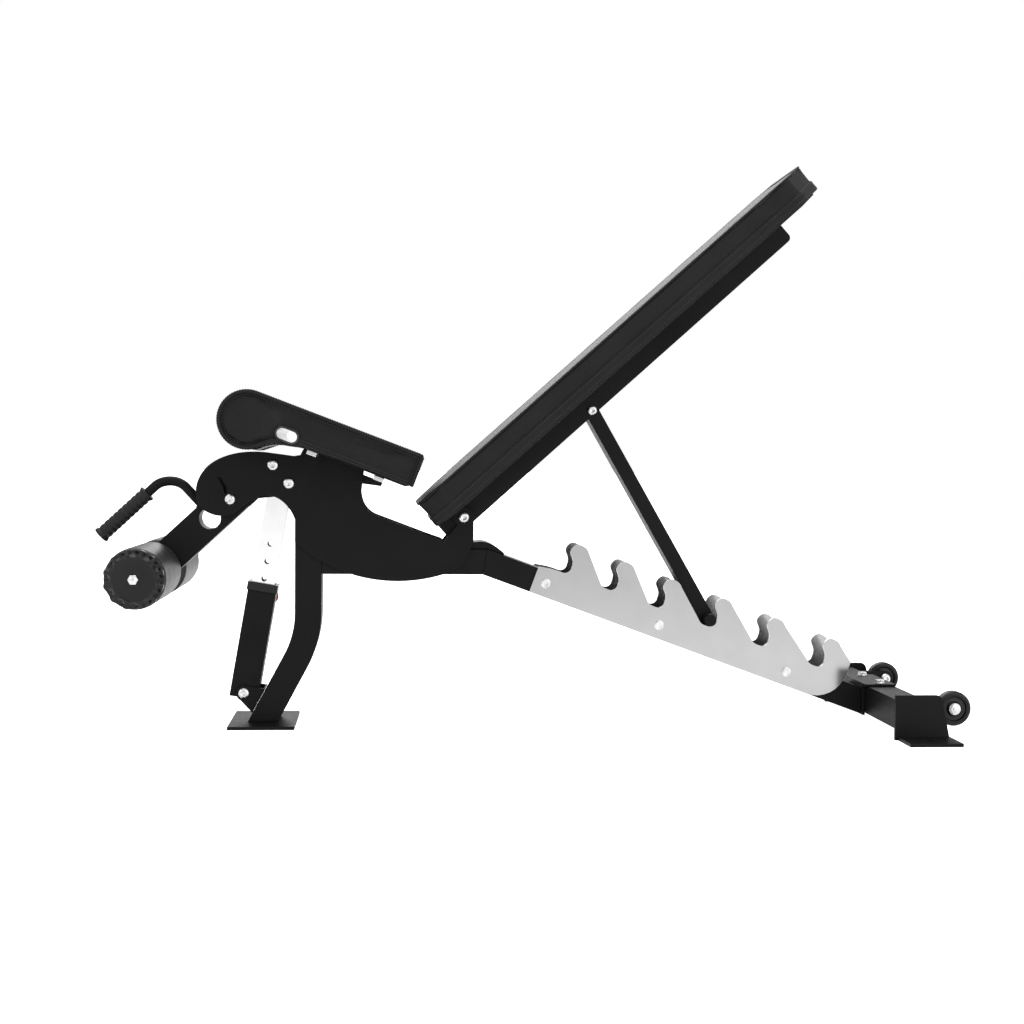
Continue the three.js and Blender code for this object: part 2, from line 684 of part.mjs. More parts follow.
function ladderOutline() {
  const notches = notchBackAngles.map(notchPlace);
  const seatRadius = strutPinRadius + runningGap;
  const end = ladderStart + ladderLength;
  const tail = 58;
  const shape = new THREE.Shape();
  shape.moveTo(ladderStart, 0);
  shape.lineTo(end - tail, 0);
  shape.absarc(end - tail, tail, tail, -Math.PI / 2, 0, false);
  shape.lineTo(end, Math.max(tail + 6, pinHeight + 17));
  for (let i = notches.length - 1; i >= 0; i -= 1) {
    const u = notches[i];
    const v = pinHeight;
    shape.lineTo(u + 31, toothHeight - 8);
    shape.bezierCurveTo(u + 28, toothHeight - 3, u + 21, toothHeight, u + 13, toothHeight);
    shape.bezierCurveTo(u + 4, toothHeight, u - 1, toothHeight - 9, u - 0.5, v + 28);
    shape.bezierCurveTo(u + 0.5, v + 21, u + seatRadius * 0.95, v + 19, u + seatRadius, v + 5);
    shape.absarc(u, v, seatRadius, rad(20), rad(-90), true);
    shape.lineTo(u - 7, v - seatRadius);
    if (i > 0) shape.quadraticCurveTo(u - 14, v - seatRadius, u - 19, v - 6);
    else shape.quadraticCurveTo(u - 14, v - seatRadius, u - 24, v - seatRadius - 1);
  }
  shape.lineTo(ladderStart, beamHeight + 3);
  return shape;
}

const ladderHoles = ladderBoltStations.map((station) =>
  bar(ladderStart + station, ladderBoltHeight, smallBoltRadius + holeGap, -60, 60, 12));
for (const { name, sign } of sides) {
  const plate = slab(ladderOutline(), ...span(sign, plateInner, plateOuter), 4);
  place(spineGroup, `ladder_plate_${name}`, cut(plate, ...ladderHoles), finishes.ladderSteel);
}
ladderBoltStations.forEach((station, index) => {
  const face = plateOuter + jointGap;
  const u = ladderStart + station;
  const head = bar(u, ladderBoltHeight, boltHeadRadius - 1, -face - 5, -face, 6);
  const nut = bar(u, ladderBoltHeight, boltHeadRadius - 1, face, face + 5, 6);
  const shank = bar(u, ladderBoltHeight, smallBoltRadius, -face - 1, face + 1, 16);
  place(spineGroup, `ladder_bolt_${index + 1}`, join(head, shank, nut), finishes.zinc);
});

// ---------------------------------------------------------------- back rest and strut

const backGroup = tiltedGroup('back', backPivot, backAngle);
bench.add(backGroup);

const frameHalfDepth = backFrameDepth / 2;
const frameHalfWidth = backFrameWidth / 2;
const strutSlotTail = 30;
const strutSlotNose = 18;
function backBeamOutline() {
  const shape = new THREE.Shape();
  shape.moveTo(-backFrameTail, -frameHalfDepth);
  shape.lineTo(backFrameLength - backFrameRound, -frameHalfDepth);
  shape.absarc(backFrameLength - backFrameRound, backFrameRound - frameHalfDepth, backFrameRound, -Math.PI / 2, 0, false);
  shape.lineTo(backFrameLength, frameHalfDepth);
  shape.lineTo(-backFrameTail, frameHalfDepth);
  return shape;
}
const backBeam = cut(
  slab(backBeamOutline(), -frameHalfWidth, frameHalfWidth, 6),
  block(-backFrameTail - 10, backFrameLength - backFrameRound, -frameHalfWidth + backFrameWall,
    frameHalfWidth - backFrameWall, -frameHalfDepth + backFrameWall, frameHalfDepth - backFrameWall),
  block(strutBolt.s - strutSlotTail, strutBolt.s + strutSlotNose, -strutWidth / 2 - 1.5, strutWidth / 2 + 1.5,
    -frameHalfDepth - 5, -frameHalfDepth + backFrameWall + 1),
);
place(backGroup, 'back_frame', cut(
  join(backBeam, bar(0, 0, pivotBoltRadius + 7, -plateInner + runningGap, plateInner - runningGap)),
  bar(0, 0, pivotBoltRadius + holeGap, -60, 60),
  bar(strutBolt.s, strutBolt.t, smallBoltRadius + holeGap, -60, 60, 12),
), finishes.blackPaint);

const boardBottom = frameHalfDepth + jointGap;
const boardTop = boardBottom + backBoardThickness;
place(backGroup, 'back_board', paddedBlock(-backPadTail + 16, backPadLength - backPadTail - 12,
  backPadWidth - 24, boardBottom, boardTop, padCorner - 6), finishes.board);
place(backGroup, 'back_cushion', paddedBlock(-backPadTail, backPadLength - backPadTail, backPadWidth,
  boardTop + jointGap, boardTop + jointGap + backPadThickness, padCorner), finishes.leather);
place(backGroup, 'strut_bolt', crossBolt(strutBolt.s, strutBolt.t, smallBoltRadius,
  -frameHalfWidth - jointGap, frameHalfWidth + jointGap, boltHeadRadius - 1, 5), finishes.zinc);

const strutHead = strutTop(backAngle);
const pinU = notchPlace(backAngle);
const [strutFootX, strutFootZ] = fromSpine(pinU, pinHeight);
const strutAngle = THREE.MathUtils.radToDeg(Math.atan2(strutFootZ - strutHead.z, strutFootX - strutHead.x));
const strutGroup = tiltedGroup('strut_frame', strutHead, strutAngle);
bench.add(strutGroup);

function strutOutline(inset, overrun) {
  const half = strutDepth / 2 - inset;
  const shape = new THREE.Shape();
  shape.moveTo(-strutDepth / 2 - overrun, half);
  shape.lineTo(-strutDepth / 2 - overrun, -half);
  shape.lineTo(strutLength, -half);
  shape.absarc(strutLength, 0, half, -Math.PI / 2, Math.PI / 2, false);
  return shape;
}

place(strutGroup, 'strut', cut(
  slab(strutOutline(0, 0), -strutWidth / 2, strutWidth / 2, 8),
  slab(strutOutline(strutWall, 10), -strutWidth / 2 + strutWall, strutWidth / 2 - strutWall, 8),
  bar(0, 0, smallBoltRadius + holeGap, -60, 60, 12),
  bar(strutLength, 0, strutPinRadius - 2 + holeGap, -60, 60),
), finishes.blackPaint);
// The pin is stepped, so that it sits in the strut's two walls and fills the notches outside them.
const pinSpan = plateOuter + strutPinOverhang;
place(strutGroup, 'strut_pin', join(
  bar(strutLength, 0, strutPinRadius - 2, -pinSpan, pinSpan, 20),
  ...sides.map(({ sign }) => bar(strutLength, 0, strutPinRadius,
    ...span(sign, strutWidth / 2 + jointGap, pinSpan), 20)),
), finishes.blackPaint);

// ---------------------------------------------------------------- leg hold-down arm

const armGroup = tiltedGroup('arm', armPivot, 180 + armAngle);
bench.add(armGroup);

const leverEye = {
  x: armPivot.x + leverLength * Math.cos(rad(leverAngle)),
  z: armPivot.z + leverLength * Math.sin(rad(leverAngle)),
};
const [eyeA, eyeQ] = inGroup(armPivot, 180 + armAngle, leverEye.x, leverEye.z);

function armOutline() {
  const half = armDepth / 2;
  const shape = new THREE.Shape();
  shape.moveTo(armReach, -half);
  shape.absarc(armReach, 0, half, -Math.PI / 2, Math.PI / 2, false);
  shape.lineTo(-34, half);
  shape.lineTo(eyeA + 6, eyeQ + leverEyeRadius - 1);
  shape.absarc(eyeA, eyeQ, leverEyeRadius, rad(65), rad(200), false);
  shape.lineTo(-62, -8);
  shape.quadraticCurveTo(-56, -half, -30, -half);
  return shape;
}

const armHalf = armWidth / 2;
const armInner = armHalf - armWall;
const cheekStart = -14;
place(armGroup, 'leg_arm', cut(
  join(
    cut(
      slab(armOutline(), -armHalf, armHalf, 10),
      block(cheekStart - 1, armReach - 28, -armInner, armInner, -armDepth / 2 + armWall, armDepth / 2 - armWall),
      block(-200, cheekStart, -armInner, armInner, -100, 100),
    ),
    bar(0, 0, pivotBoltRadius + 6, -plateInner + runningGap, plateInner - runningGap),
    bar(armHoleReach, 0, armHoleRadius + armWall, -armHalf, armHalf, 24),
  ),
  bar(0, 0, pivotBoltRadius + holeGap, -60, 60),
  bar(armHoleReach, 0, armHoleRadius, -60, 60, 24),
  bar(armReach, 0, rollerAxleRadius + holeGap, -60, 60, 20),
  bar(eyeA, eyeQ, topPinRadius + holeGap, -60, 60, 12),
), finishes.blackPaint);

place(armGroup, 'post_top_pin', crossBolt(eyeA, eyeQ, topPinRadius, -armHalf - jointGap,
  armHalf + jointGap, 7, 2), finishes.zinc);

function handleTube() {
  const root = -armDepth / 2 - jointGap;
  const rail = -armDepth / 2 - handleRise;
  const bend = handleBendRadius;
  const path = new THREE.CurvePath();
  const at = (a, q) => new THREE.Vector3(a, 0, q);
  path.add(new THREE.LineCurve3(at(handleReach, root), at(handleReach, rail + bend)));
  path.add(new THREE.CubicBezierCurve3(at(handleReach, rail + bend), at(handleReach, rail + bend * 0.45),
    at(handleReach + bend * 0.55, rail), at(handleReach + bend, rail)));
  path.add(new THREE.LineCurve3(at(handleReach + bend, rail), at(handleEnd - 3, rail)));
  const ring = new THREE.Shape().absarc(0, 0, handleRadius, 0, 2 * Math.PI, false);
  ring.holes.push(new THREE.Path().absarc(0, 0, handleRadius - 2, 0, 2 * Math.PI, true));
  return toSolid(new THREE.ExtrudeGeometry(ring, { steps: 18, curveSegments: 4, extrudePath: path }));
}
place(armGroup, 'handle_tube', handleTube(), finishes.blackPaint);

function gripProfile() {
  const bore = handleRadius + jointGap;
  const ridges = 4;
  const from = handleEnd - gripLength + 9;
  const to = handleEnd - 9;
  const points = [[bore, from - 9], [gripFlangeRadius, from - 9], [gripFlangeRadius, from - 5], [gripRadius, from]];
  for (let i = 1; i < ridges * 2; i += 1) {
    points.push([gripRadius + (i % 2 === 0 ? 0 : 1.1), from + (to - from) * (i / (ridges * 2))]);
  }
  points.push([gripRadius, to], [gripFlangeRadius, to + 5], [gripFlangeRadius, to + 9], [bore, to + 9],
    [bore, from - 9]);
  return points.map(([radius, along]) => new THREE.Vector2(radius, along));
}
const gripRail = -armDepth / 2 - handleRise;
place(armGroup, 'handle_grip', toSolid(new THREE.LatheGeometry(gripProfile(), 16)
  .rotateZ(-Math.PI / 2).translate(0, 0, gripRail)), finishes.rubber);

const rollerEnd = rollerInner + rollerLength;
place(armGroup, 'roller_axle', join(
  bar(armReach, 0, rollerAxleRadius, -rollerEnd - 5, rollerEnd + 5, 16),
  ...sides.map(({ sign }) => bar(armReach, 0, rollerAxleRadius + 3,
    ...span(sign, rollerEnd + runningGap, rollerEnd + 6), 6)),
), finishes.zinc);

// ---------------------------------------------------------------- foam rollers

const rollerGroup = tiltedGroup('rollers', {
  x: armPivot.x - armReach * Math.cos(rad(armAngle)),
  z: armPivot.z - armReach * Math.sin(rad(armAngle)),
}, 0);
bench.add(rollerGroup);

function capOutline() {
  const shape = new THREE.Shape();
  const steps = rollerCapLobes * 4;
  for (let i = 0; i < steps; i += 1) {
    const turn = (i / steps) * 2 * Math.PI;
    const radius = rollerRadius - 1 - 3.5 * Math.max(0, Math.cos(rollerCapLobes * turn)) ** 4;
    if (i === 0) shape.moveTo(radius, 0);
    else shape.lineTo(radius * Math.cos(turn), radius * Math.sin(turn));
  }
  return shape;
}

for (const { name, sign } of sides) {
  const bore = rollerAxleRadius + runningGap / 2;
  const foamEnd = rollerEnd - rollerCapThickness - jointGap;
  const [y0, y1] = span(sign, rollerInner, foamEnd);
  place(rollerGroup, `foam_roller_${name}`, turned(0, 0, [
    [bore, y0], [rollerRadius - 4, y0], [rollerRadius, y0 + 4], [rollerRadius, y1 - 4], [rollerRadius - 4, y1],
    [bore, y1], [bore, y0],
  ], 28), finishes.foam);
  const cap = join(
    slab(capOutline(), ...span(sign, rollerEnd - rollerCapThickness, rollerEnd - 3), 6),
    bar(0, 0, rollerRadius * 0.7, ...span(sign, rollerEnd - 4, rollerEnd), 36),
  );
  place(rollerGroup, `roller_cap_${name}`, cut(cap, bar(0, 0, bore, -300, 300, 16)), finishes.plastic);
}

// ---------------------------------------------------------------- telescopic post

const postAngle = THREE.MathUtils.radToDeg(Math.atan2(leverEye.z - postPivot.z, leverEye.x - postPivot.x));
const postLength = Math.hypot(leverEye.z - postPivot.z, leverEye.x - postPivot.x);
const postGroup = tiltedGroup('post', postPivot, postAngle);
bench.add(postGroup);

// A square tube along a group's X axis.
function squareTube(x0, x1, size, wall) {
  const half = size / 2;
  const hollow = half - wall;
  return cut(block(x0, x1, -half, half, -half, half),
    block(x0 - 1, x1 + 1, -hollow, hollow, -hollow, hollow));
}

const popPinX = sleeveLength - popPinDrop;
place(postGroup, 'post_sleeve', cut(
  squareTube(-sleeveTail, sleeveLength, sleeveSize, sleeveWall),
  bar(0, 0, smallBoltRadius + holeGap, -60, 60, 12),
  bar(popPinX, 0, popPinRadius + holeGap, 0, 60, 16),
), finishes.blackPaint);
const collarBottom = sleeveLength + jointGap;
place(postGroup, 'sleeve_collar', squareTube(collarBottom, collarBottom + collarHeight, collarSize,
  (collarSize - postTubeSize) / 2 - runningGap), finishes.plastic);

const tubeBottom = sleeveLength - postTubeInside;
const tongueTop = postLength + tongueWidth / 2;
const tubeTop = tongueTop - tongueLength + 6;
const slotHalf = tongueWidth / 2 - 2.5;
const postHoles = Array.from({ length: 6 }, (_, i) =>
  bar(popPinX + (i - 2) * postHolePitch, 0, postHoleRadius, -60, 60, 10));
const pivotSlot = slotOutline({ s: 0, h: 0, length: 2 * slotHalf, height: 2 * topPinRadius + 3 });
place(postGroup, 'post_tube', cut(
  join(
    squareTube(tubeBottom, tubeTop, postTubeSize, postTubeWall),
    block(tongueTop - tongueLength, tongueTop, -postTubeSize / 2 + 1, postTubeSize / 2 - 1,
      -tongueWidth / 2, tongueWidth / 2),
  ),
  ...postHoles.filter((_, i) => popPinX + (i - 2) * postHolePitch > tubeBottom + 8),
  slab(new THREE.Shape(pivotSlot.getPoints(8).map((p) => new THREE.Vector2(p.y + postLength, p.x))), -60, 60),
), finishes.chrome);

const sleeveFace = sleeveSize / 2;
const barrelEnd = sleeveFace + jointGap + popPinBarrelLength;
place(postGroup, 'pop_pin_barrel', cut(
  bar(popPinX, 0, popPinBarrelRadius, sleeveFace + jointGap, barrelEnd, 24),
  bar(popPinX, 0, popPinRadius + holeGap, 0, 60, 16),
), finishes.zinc);
const pinNose = postTubeSize / 2 + 0.6;
const knobStart = barrelEnd + jointGap;
place(postGroup, 'pop_pin', bar(popPinX, 0, popPinRadius, pinNose, knobStart + knobLength - 8, 16), finishes.zinc);
place(postGroup, 'pop_pin_knob', cut(
  turned(popPinX, 0, [
    [0, knobStart], [knobRadius * 0.6, knobStart], [knobRadius, knobStart + 5],
    [knobRadius, knobStart + knobLength - 5], [knobRadius * 0.8, knobStart + knobLength],
    [0, knobStart + knobLength],
  ], 20),
  bar(popPinX, 0, popPinRadius + jointGap, knobStart - 1, knobStart + knobLength - 7, 16),
), finishes.redPlastic);

// Fork on the leg that carries the sleeve's lower bolt.
const legLean = 90 - legTilt;
const forkGroup = tiltedGroup('fork', postPivot, legLean);
bench.add(forkGroup);
const legFaceAt = (() => {
  const [, q] = inGroup({ x: 0, z: footTop }, legLean, postPivot.x, postPivot.z);
  return q - legDepth / 2;
})();
const forkInner = sleeveSize / 2 + runningGap;
const forkBase = 2.5;
function forkOutline() {
  const shape = new THREE.Shape();
  const round = boltHeadRadius + 4;
  const low = -legFaceAt + jointGap;
  shape.moveTo(-24, low);
  shape.lineTo(24, low);
  shape.lineTo(round, 0);
  shape.absarc(0, 0, round, 0, Math.PI, false);
  return shape;
}
const forkEars = sides.map(({ sign }) => slab(forkOutline(), ...span(sign, forkInner, forkInner + 4), 8));
place(forkGroup, 'post_bracket', cut(
  join(block(-24, 24, -forkInner - 4, forkInner + 4, -legFaceAt + jointGap, -legFaceAt + jointGap + forkBase),
    ...forkEars),
  bar(0, 0, smallBoltRadius + holeGap, -60, 60, 12),
), finishes.blackPaint);
place(forkGroup, 'post_pivot_bolt', crossBolt(0, 0, smallBoltRadius, -forkInner - 4 - jointGap,
  forkInner + 4 + jointGap, boltHeadRadius, 5), finishes.zinc);

export default bench;
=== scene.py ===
"""Looks for an adjustable weight bench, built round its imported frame.

Everything is in metres in the frame's own axes: +X from the rollers to the wheels,
+Y across the bench, +Z up, with the origin under the front foot.
"""
import logging
from dataclasses import dataclass, field
from enum import Enum
from typing import Callable, Optional, Sequence

import bmesh
import bpy
import numpy as np
from mathutils import Matrix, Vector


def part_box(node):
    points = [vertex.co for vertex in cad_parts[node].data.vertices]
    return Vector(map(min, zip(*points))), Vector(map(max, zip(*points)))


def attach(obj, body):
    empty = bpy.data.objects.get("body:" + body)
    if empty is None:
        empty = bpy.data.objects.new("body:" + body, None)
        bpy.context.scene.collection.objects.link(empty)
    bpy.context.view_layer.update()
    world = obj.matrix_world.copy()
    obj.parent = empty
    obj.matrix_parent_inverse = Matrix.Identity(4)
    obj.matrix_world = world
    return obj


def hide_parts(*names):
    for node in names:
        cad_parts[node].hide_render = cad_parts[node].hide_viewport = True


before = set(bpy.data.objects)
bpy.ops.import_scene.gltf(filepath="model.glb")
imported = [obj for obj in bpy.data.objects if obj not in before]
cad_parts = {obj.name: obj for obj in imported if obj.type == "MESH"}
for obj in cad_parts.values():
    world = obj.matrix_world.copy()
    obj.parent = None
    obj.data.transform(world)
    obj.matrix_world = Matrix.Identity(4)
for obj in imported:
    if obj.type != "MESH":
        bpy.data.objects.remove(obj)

logging.basicConfig(level=logging.INFO, format="%(message)s")
log = logging.getLogger("bench")

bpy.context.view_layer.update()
MM = 0.001
FULL_TURN = 2 * np.pi


# ---------------------------------------------------------------- meshes


class Body(str, Enum):
    """The frame's moving bodies."""

    FRAME = "frame"
    WHEEL_LEFT = "wheel_left"
    WHEEL_RIGHT = "wheel_right"
    BACK = "back"
    STRUT = "strut"
    ARM = "arm"
    ROLLER_LEFT = "roller_left"
    ROLLER_RIGHT = "roller_right"
    POST_SLEEVE = "post_sleeve"
    POST_TUBE = "post_tube"
    POP_PIN = "pop_pin"


class Slot(str, Enum):
    """The record's material slots."""

    FRAME_PAINT = "frame_paint"
    LADDER_STEEL = "ladder_steel"
    CHROME = "chrome"
    ZINC = "zinc"
    UPHOLSTERY = "upholstery"
    BOARD = "board"
    FOAM = "foam"
    RUBBER = "rubber"
    PLASTIC = "plastic"
    RED_PLASTIC = "red_plastic"


@dataclass(frozen=True)
class TiltedPlane:
    """A plane across the bench whose own first axis is turned up from level.

    A place in it is (along, across, height): height is square to the first axis.
    """

    x: float
    z: float
    degrees: float = 0.0

    def place(self, local: np.ndarray) -> np.ndarray:
        """World points of local points, by turning and then moving them.

        Args:
            local: Points of shape (..., 3) in this plane.

        Returns:
            The same points in the frame's axes.
        """
        angle = np.radians(self.degrees)
        along, across, height = local[..., 0], local[..., 1], local[..., 2]
        return np.stack([
            self.x + along * np.cos(angle) - height * np.sin(angle),
            across,
            self.z + along * np.sin(angle) + height * np.cos(angle),
        ], axis=-1)

    def matrix(self) -> Matrix:
        """The turn and move of place() as one matrix."""
        angle = np.radians(self.degrees)
        cos, sin = float(np.cos(angle)), float(np.sin(angle))
        return Matrix(((cos, 0, -sin, self.x), (0, 1, 0, 0), (sin, 0, cos, self.z), (0, 0, 0, 1)))


SEAT_PLANE = TiltedPlane(-21 * MM, 537 * MM, -20.5)
BACK_PLANE = TiltedPlane(352 * MM, 370 * MM, 42)
ARM_PLANE = TiltedPlane(-58 * MM, 399 * MM, 223)


def grid_faces(rows: int, columns: int, close_rows: bool = False, close_columns: bool = False) -> np.ndarray:
    """Quads between neighbouring points of a grid.

    Point (i, j) is number i * columns + j; each quad joins (i, j), (i, j+1), (i+1, j+1), (i+1, j).

    Args:
        rows: Points in the first direction.
        columns: Points in the second direction.
        close_rows: Whether the last row joins the first.
        close_columns: Whether the last column joins the first.

    Returns:
        An array of shape (quads, 4).
    """
    i, j = np.meshgrid(np.arange(rows - (not close_rows)), np.arange(columns - (not close_columns)),
                       indexing="ij")
    i, j = i.ravel(), j.ravel()
    next_i, next_j = (i + 1) % rows, (j + 1) % columns
    return np.stack([i * columns + j, i * columns + next_j,
                     next_i * columns + next_j, next_i * columns + j], axis=1)


def signed_volume(points: np.ndarray, quads: np.ndarray) -> float:
    """Six times the volume in a closed quad mesh: the sum of a . (b x c) over each quad's two triangles."""
    a, b, c, d = (points[quads[:, k]] for k in range(4))
    return float(np.einsum("ij,ij->", a, np.cross(b, c)) + np.einsum("ij,ij->", a, np.cross(c, d)))


@dataclass
class Piece:
    """One new piece: its mesh arrays, and what it stands for.

    Attributes:
        name: The object's name.
        body: The body it rides on.
        slot: Its material slot; not used.
        material: Its finish.
        replaces: CAD nodes that it stands for.
        points: Its points so far.
        quads: Its faces so far.
    """

    name: str
    body: Body
    slot: Slot
    material: bpy.types.Material
    replaces: Sequence[str] = ()
    points: list = field(default_factory=list)
    quads: list = field(default_factory=list)

    def surface(self, grid: np.ndarray, close_rows: bool = False, close_columns: bool = False) -> "Piece":
        """Adds a closed surface given as a grid of points, with its faces turned outwards.

        Args:
            grid: Points of shape (rows, columns, 3).
            close_rows: Whether the last row joins the first.
            close_columns: Whether the last column joins the first.

        Returns:
            This piece.
        """
        flat = grid.reshape(-1, 3)
        quads = grid_faces(grid.shape[0], grid.shape[1], close_rows, close_columns)
        if signed_volume(flat - flat.mean(axis=0), quads) < 0:
            quads = quads[:, ::-1]
        self.quads.append(quads + sum(len(p) for p in self.points))
        self.points.append(flat)
        return self

    def build(self, sharp_degrees: float = 38) -> bpy.types.Object:
        """Makes the object, welds its poles and seams, and gives it its body and finish."""
        mesh = bpy.data.meshes.new(self.name)
        mesh.from_pydata(np.concatenate(self.points).tolist(), [], np.concatenate(self.quads).tolist())
        weld(mesh)
        obj = bpy.data.objects.new(self.name, mesh)
        bpy.context.scene.collection.objects.link(obj)
        return settle(obj, self.body, self.material, self.replaces, sharp_degrees)


def weld(mesh: bpy.types.Mesh, distance: float = 2e-6) -> None:
    """Merges points that lie together, which closes poles and seams."""
    edit = bmesh.new()
    edit.from_mesh(mesh)
    bmesh.ops.remove_doubles(edit, verts=edit.verts, dist=distance)
    bmesh.ops.dissolve_degenerate(edit, edges=edit.edges, dist=distance)
    edit.to_mesh(mesh)
    edit.free()


def settle(obj: bpy.types.Object, body: Body, material: bpy.types.Material,
           replaces: Sequence[str], sharp_degrees: float) -> bpy.types.Object:
    """Smooths a finished piece, dresses it, and ties it to its body and CAD nodes.

    Args:
        obj: The finished piece.
        body: The body it rides on.
        material: Its finish.
        replaces: CAD nodes that it stands for.
        sharp_degrees: Edges that turn further than this stay sharp.

    Returns:
        The piece.
    """
    obj.data.shade_smooth()
    obj.data.set_sharp_from_angle(angle=np.radians(sharp_degrees))
    obj.data.materials.clear()
    obj.data.materials.append(material)
    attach(obj, body.value)
    if replaces:
        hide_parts(*replaces)
    log.info("%s: %d faces on %s", obj.name, len(obj.data.polygons), body.value)
    return obj


def soften(points: np.ndarray, radius: float, steps: int = 4) -> np.ndarray:
    """Rounds the inner corners of an open line.

    Each corner B becomes points of (1-t)^2 A + 2t(1-t) B + t^2 C for t from 0 to 1, where A and C
    lie radius away from B on its two sides, or halfway to the next corner where that is nearer.

    Args:
        points: Corners, of shape (n, columns); the first two columns give the distances.
        radius: How far from each corner the curve starts.
        steps: Points in each curve.

    Returns:
        The rounded line, with the first and last points kept.
    """
    before, corner, after = points[:-2], points[1:-1], points[2:]
    reach_in = np.linalg.norm((before - corner)[:, :2], axis=1, keepdims=True)
    reach_out = np.linalg.norm((after - corner)[:, :2], axis=1, keepdims=True)
    start = corner + (before - corner) * np.minimum(radius / np.maximum(reach_in, 1e-9), 0.5)
    stop = corner + (after - corner) * np.minimum(radius / np.maximum(reach_out, 1e-9), 0.5)
    t = np.linspace(0, 1, steps)[None, :, None]
    curve = (1 - t) ** 2 * start[:, None] + 2 * t * (1 - t) * corner[:, None] + t ** 2 * stop[:, None]
    return np.concatenate([points[:1], curve.reshape(-1, points.shape[1]), points[-1:]])


def turned(rows: np.ndarray, sides: int = 48, ripple: Optional[Callable] = None) -> np.ndarray:
    """A turned surface about the Y axis.

    A row (radius, place, hexness) gives the ring radius * (1 - h + h * six(turn)), where six(turn)
    = cos 30 / cos((turn mod 60) - 30) is the outline of a hexagon with its corners at radius 1.

    Args:
        rows: Profile of shape (n, 3), or (n, 2) where nothing is six-sided.
        sides: Points round each ring.
        ripple: Optional function of (turn, radius, place) that gives a new radius.

    Returns:
        A grid of shape (n, sides, 3) with the axis through x = z = 0.
    """
    turn = np.linspace(0, FULL_TURN, sides, endpoint=False)[None, :]
    radius, place = rows[:, :1], rows[:, 1:2]
    hexness = rows[:, 2:3] if rows.shape[1] > 2 else np.zeros_like(radius)
    sixth = np.pi / 3
    six = np.cos(sixth / 2) / np.cos(np.mod(turn, sixth) - sixth / 2)
    ring = radius * (1 - hexness + hexness * six)
    if ripple is not None:
        ring = ripple(turn, ring, place)
    return np.stack([ring * np.cos(turn), place + 0 * ring, ring * np.sin(turn)], axis=-1)


def swept(path: np.ndarray, section: np.ndarray, normals: np.ndarray, sides_way: np.ndarray) -> np.ndarray:
    """A section carried along a path: point (i, j) = path i + u j * normal i + v j * side i."""
    return path[:, None] + section[..., :1] * normals[:, None] + section[..., 1:] * sides_way[:, None]


def even(line: np.ndarray, pitch: float, closed: bool = False) -> np.ndarray:
    """Points at an even pitch along a line of straight runs, found by measuring along it."""
    if closed:
        line = np.concatenate([line, line[:1]])
    length = np.concatenate([[0], np.cumsum(np.linalg.norm(np.diff(line, axis=0), axis=1))])
    count = max(3, int(round(length[-1] / pitch)) + 1)
    at = np.linspace(0, length[-1], count)
    spaced = np.stack([np.interp(at, length, line[:, k]) for k in range(line.shape[1])], axis=1)
    return spaced[:-1] if closed else spaced


def directions(line: np.ndarray, closed: bool = False) -> np.ndarray:
    """Unit vectors along a line: the difference of each point's two neighbours, over its length."""
    if closed:
        step = np.roll(line, -1, axis=0) - np.roll(line, 1, axis=0)
    else:
        step = np.gradient(line, axis=0)
    return step / np.maximum(np.linalg.norm(step, axis=1, keepdims=True), 1e-12)


def circle(radius: float, sides: int = 12) -> np.ndarray:
    """Points round a circle: radius * (cos turn, sin turn)."""
    turn = np.linspace(0, FULL_TURN, sides, endpoint=False)
    return radius * np.stack([np.cos(turn), np.sin(turn)], axis=1)


def stitches(centres: np.ndarray, along: np.ndarray, outward: np.ndarray,
             length: float = 3.2 * MM, radius: float = 0.55 * MM) -> tuple[np.ndarray, np.ndarray]:
    """Short rounded threads, one at each centre, all worked out at once.

    A thread is rings at t from -1 to 1 along its length, of radius r * sqrt(1 - t^4), which dips
    at both ends: point = centre + t * half * along + ring * (side, outward) - dip * t^2 * outward.

    Args:
        centres: Middle points, of shape (n, 3).
        along: Unit vectors along each stitch.
        outward: Unit vectors away from the cloth.
        length: Length of a stitch.
        radius: Radius of the thread.

    Returns:
        The points and the quads of all the stitches.
    """
    t = np.array([-1.0, -0.85, 0, 0.85, 1.0])
    turn = np.linspace(0, FULL_TURN, 6, endpoint=False)
    side = np.cross(along, outward)
    ring = radius * np.sqrt(np.maximum(1 - t ** 4, 0))
    points = (centres[:, None, None]
              + (t * length / 2)[None, :, None, None] * along[:, None, None]
              + (ring[:, None] * np.cos(turn))[None, :, :, None] * side[:, None, None]
              + (ring[:, None] * np.sin(turn) - 0.6 * radius * t[:, None] ** 2)[None, :, :, None]
              * outward[:, None, None])
    one = grid_faces(len(t), len(turn), close_columns=True)
    per = len(t) * len(turn)
    quads = (one[None] + per * np.arange(len(centres))[:, None, None]).reshape(-1, 4)
    flat = points.reshape(-1, 3)
    if signed_volume(flat - flat.mean(axis=0), quads) < 0:
        quads = quads[:, ::-1]
    return flat, quads


# ---------------------------------------------------------------- finishes


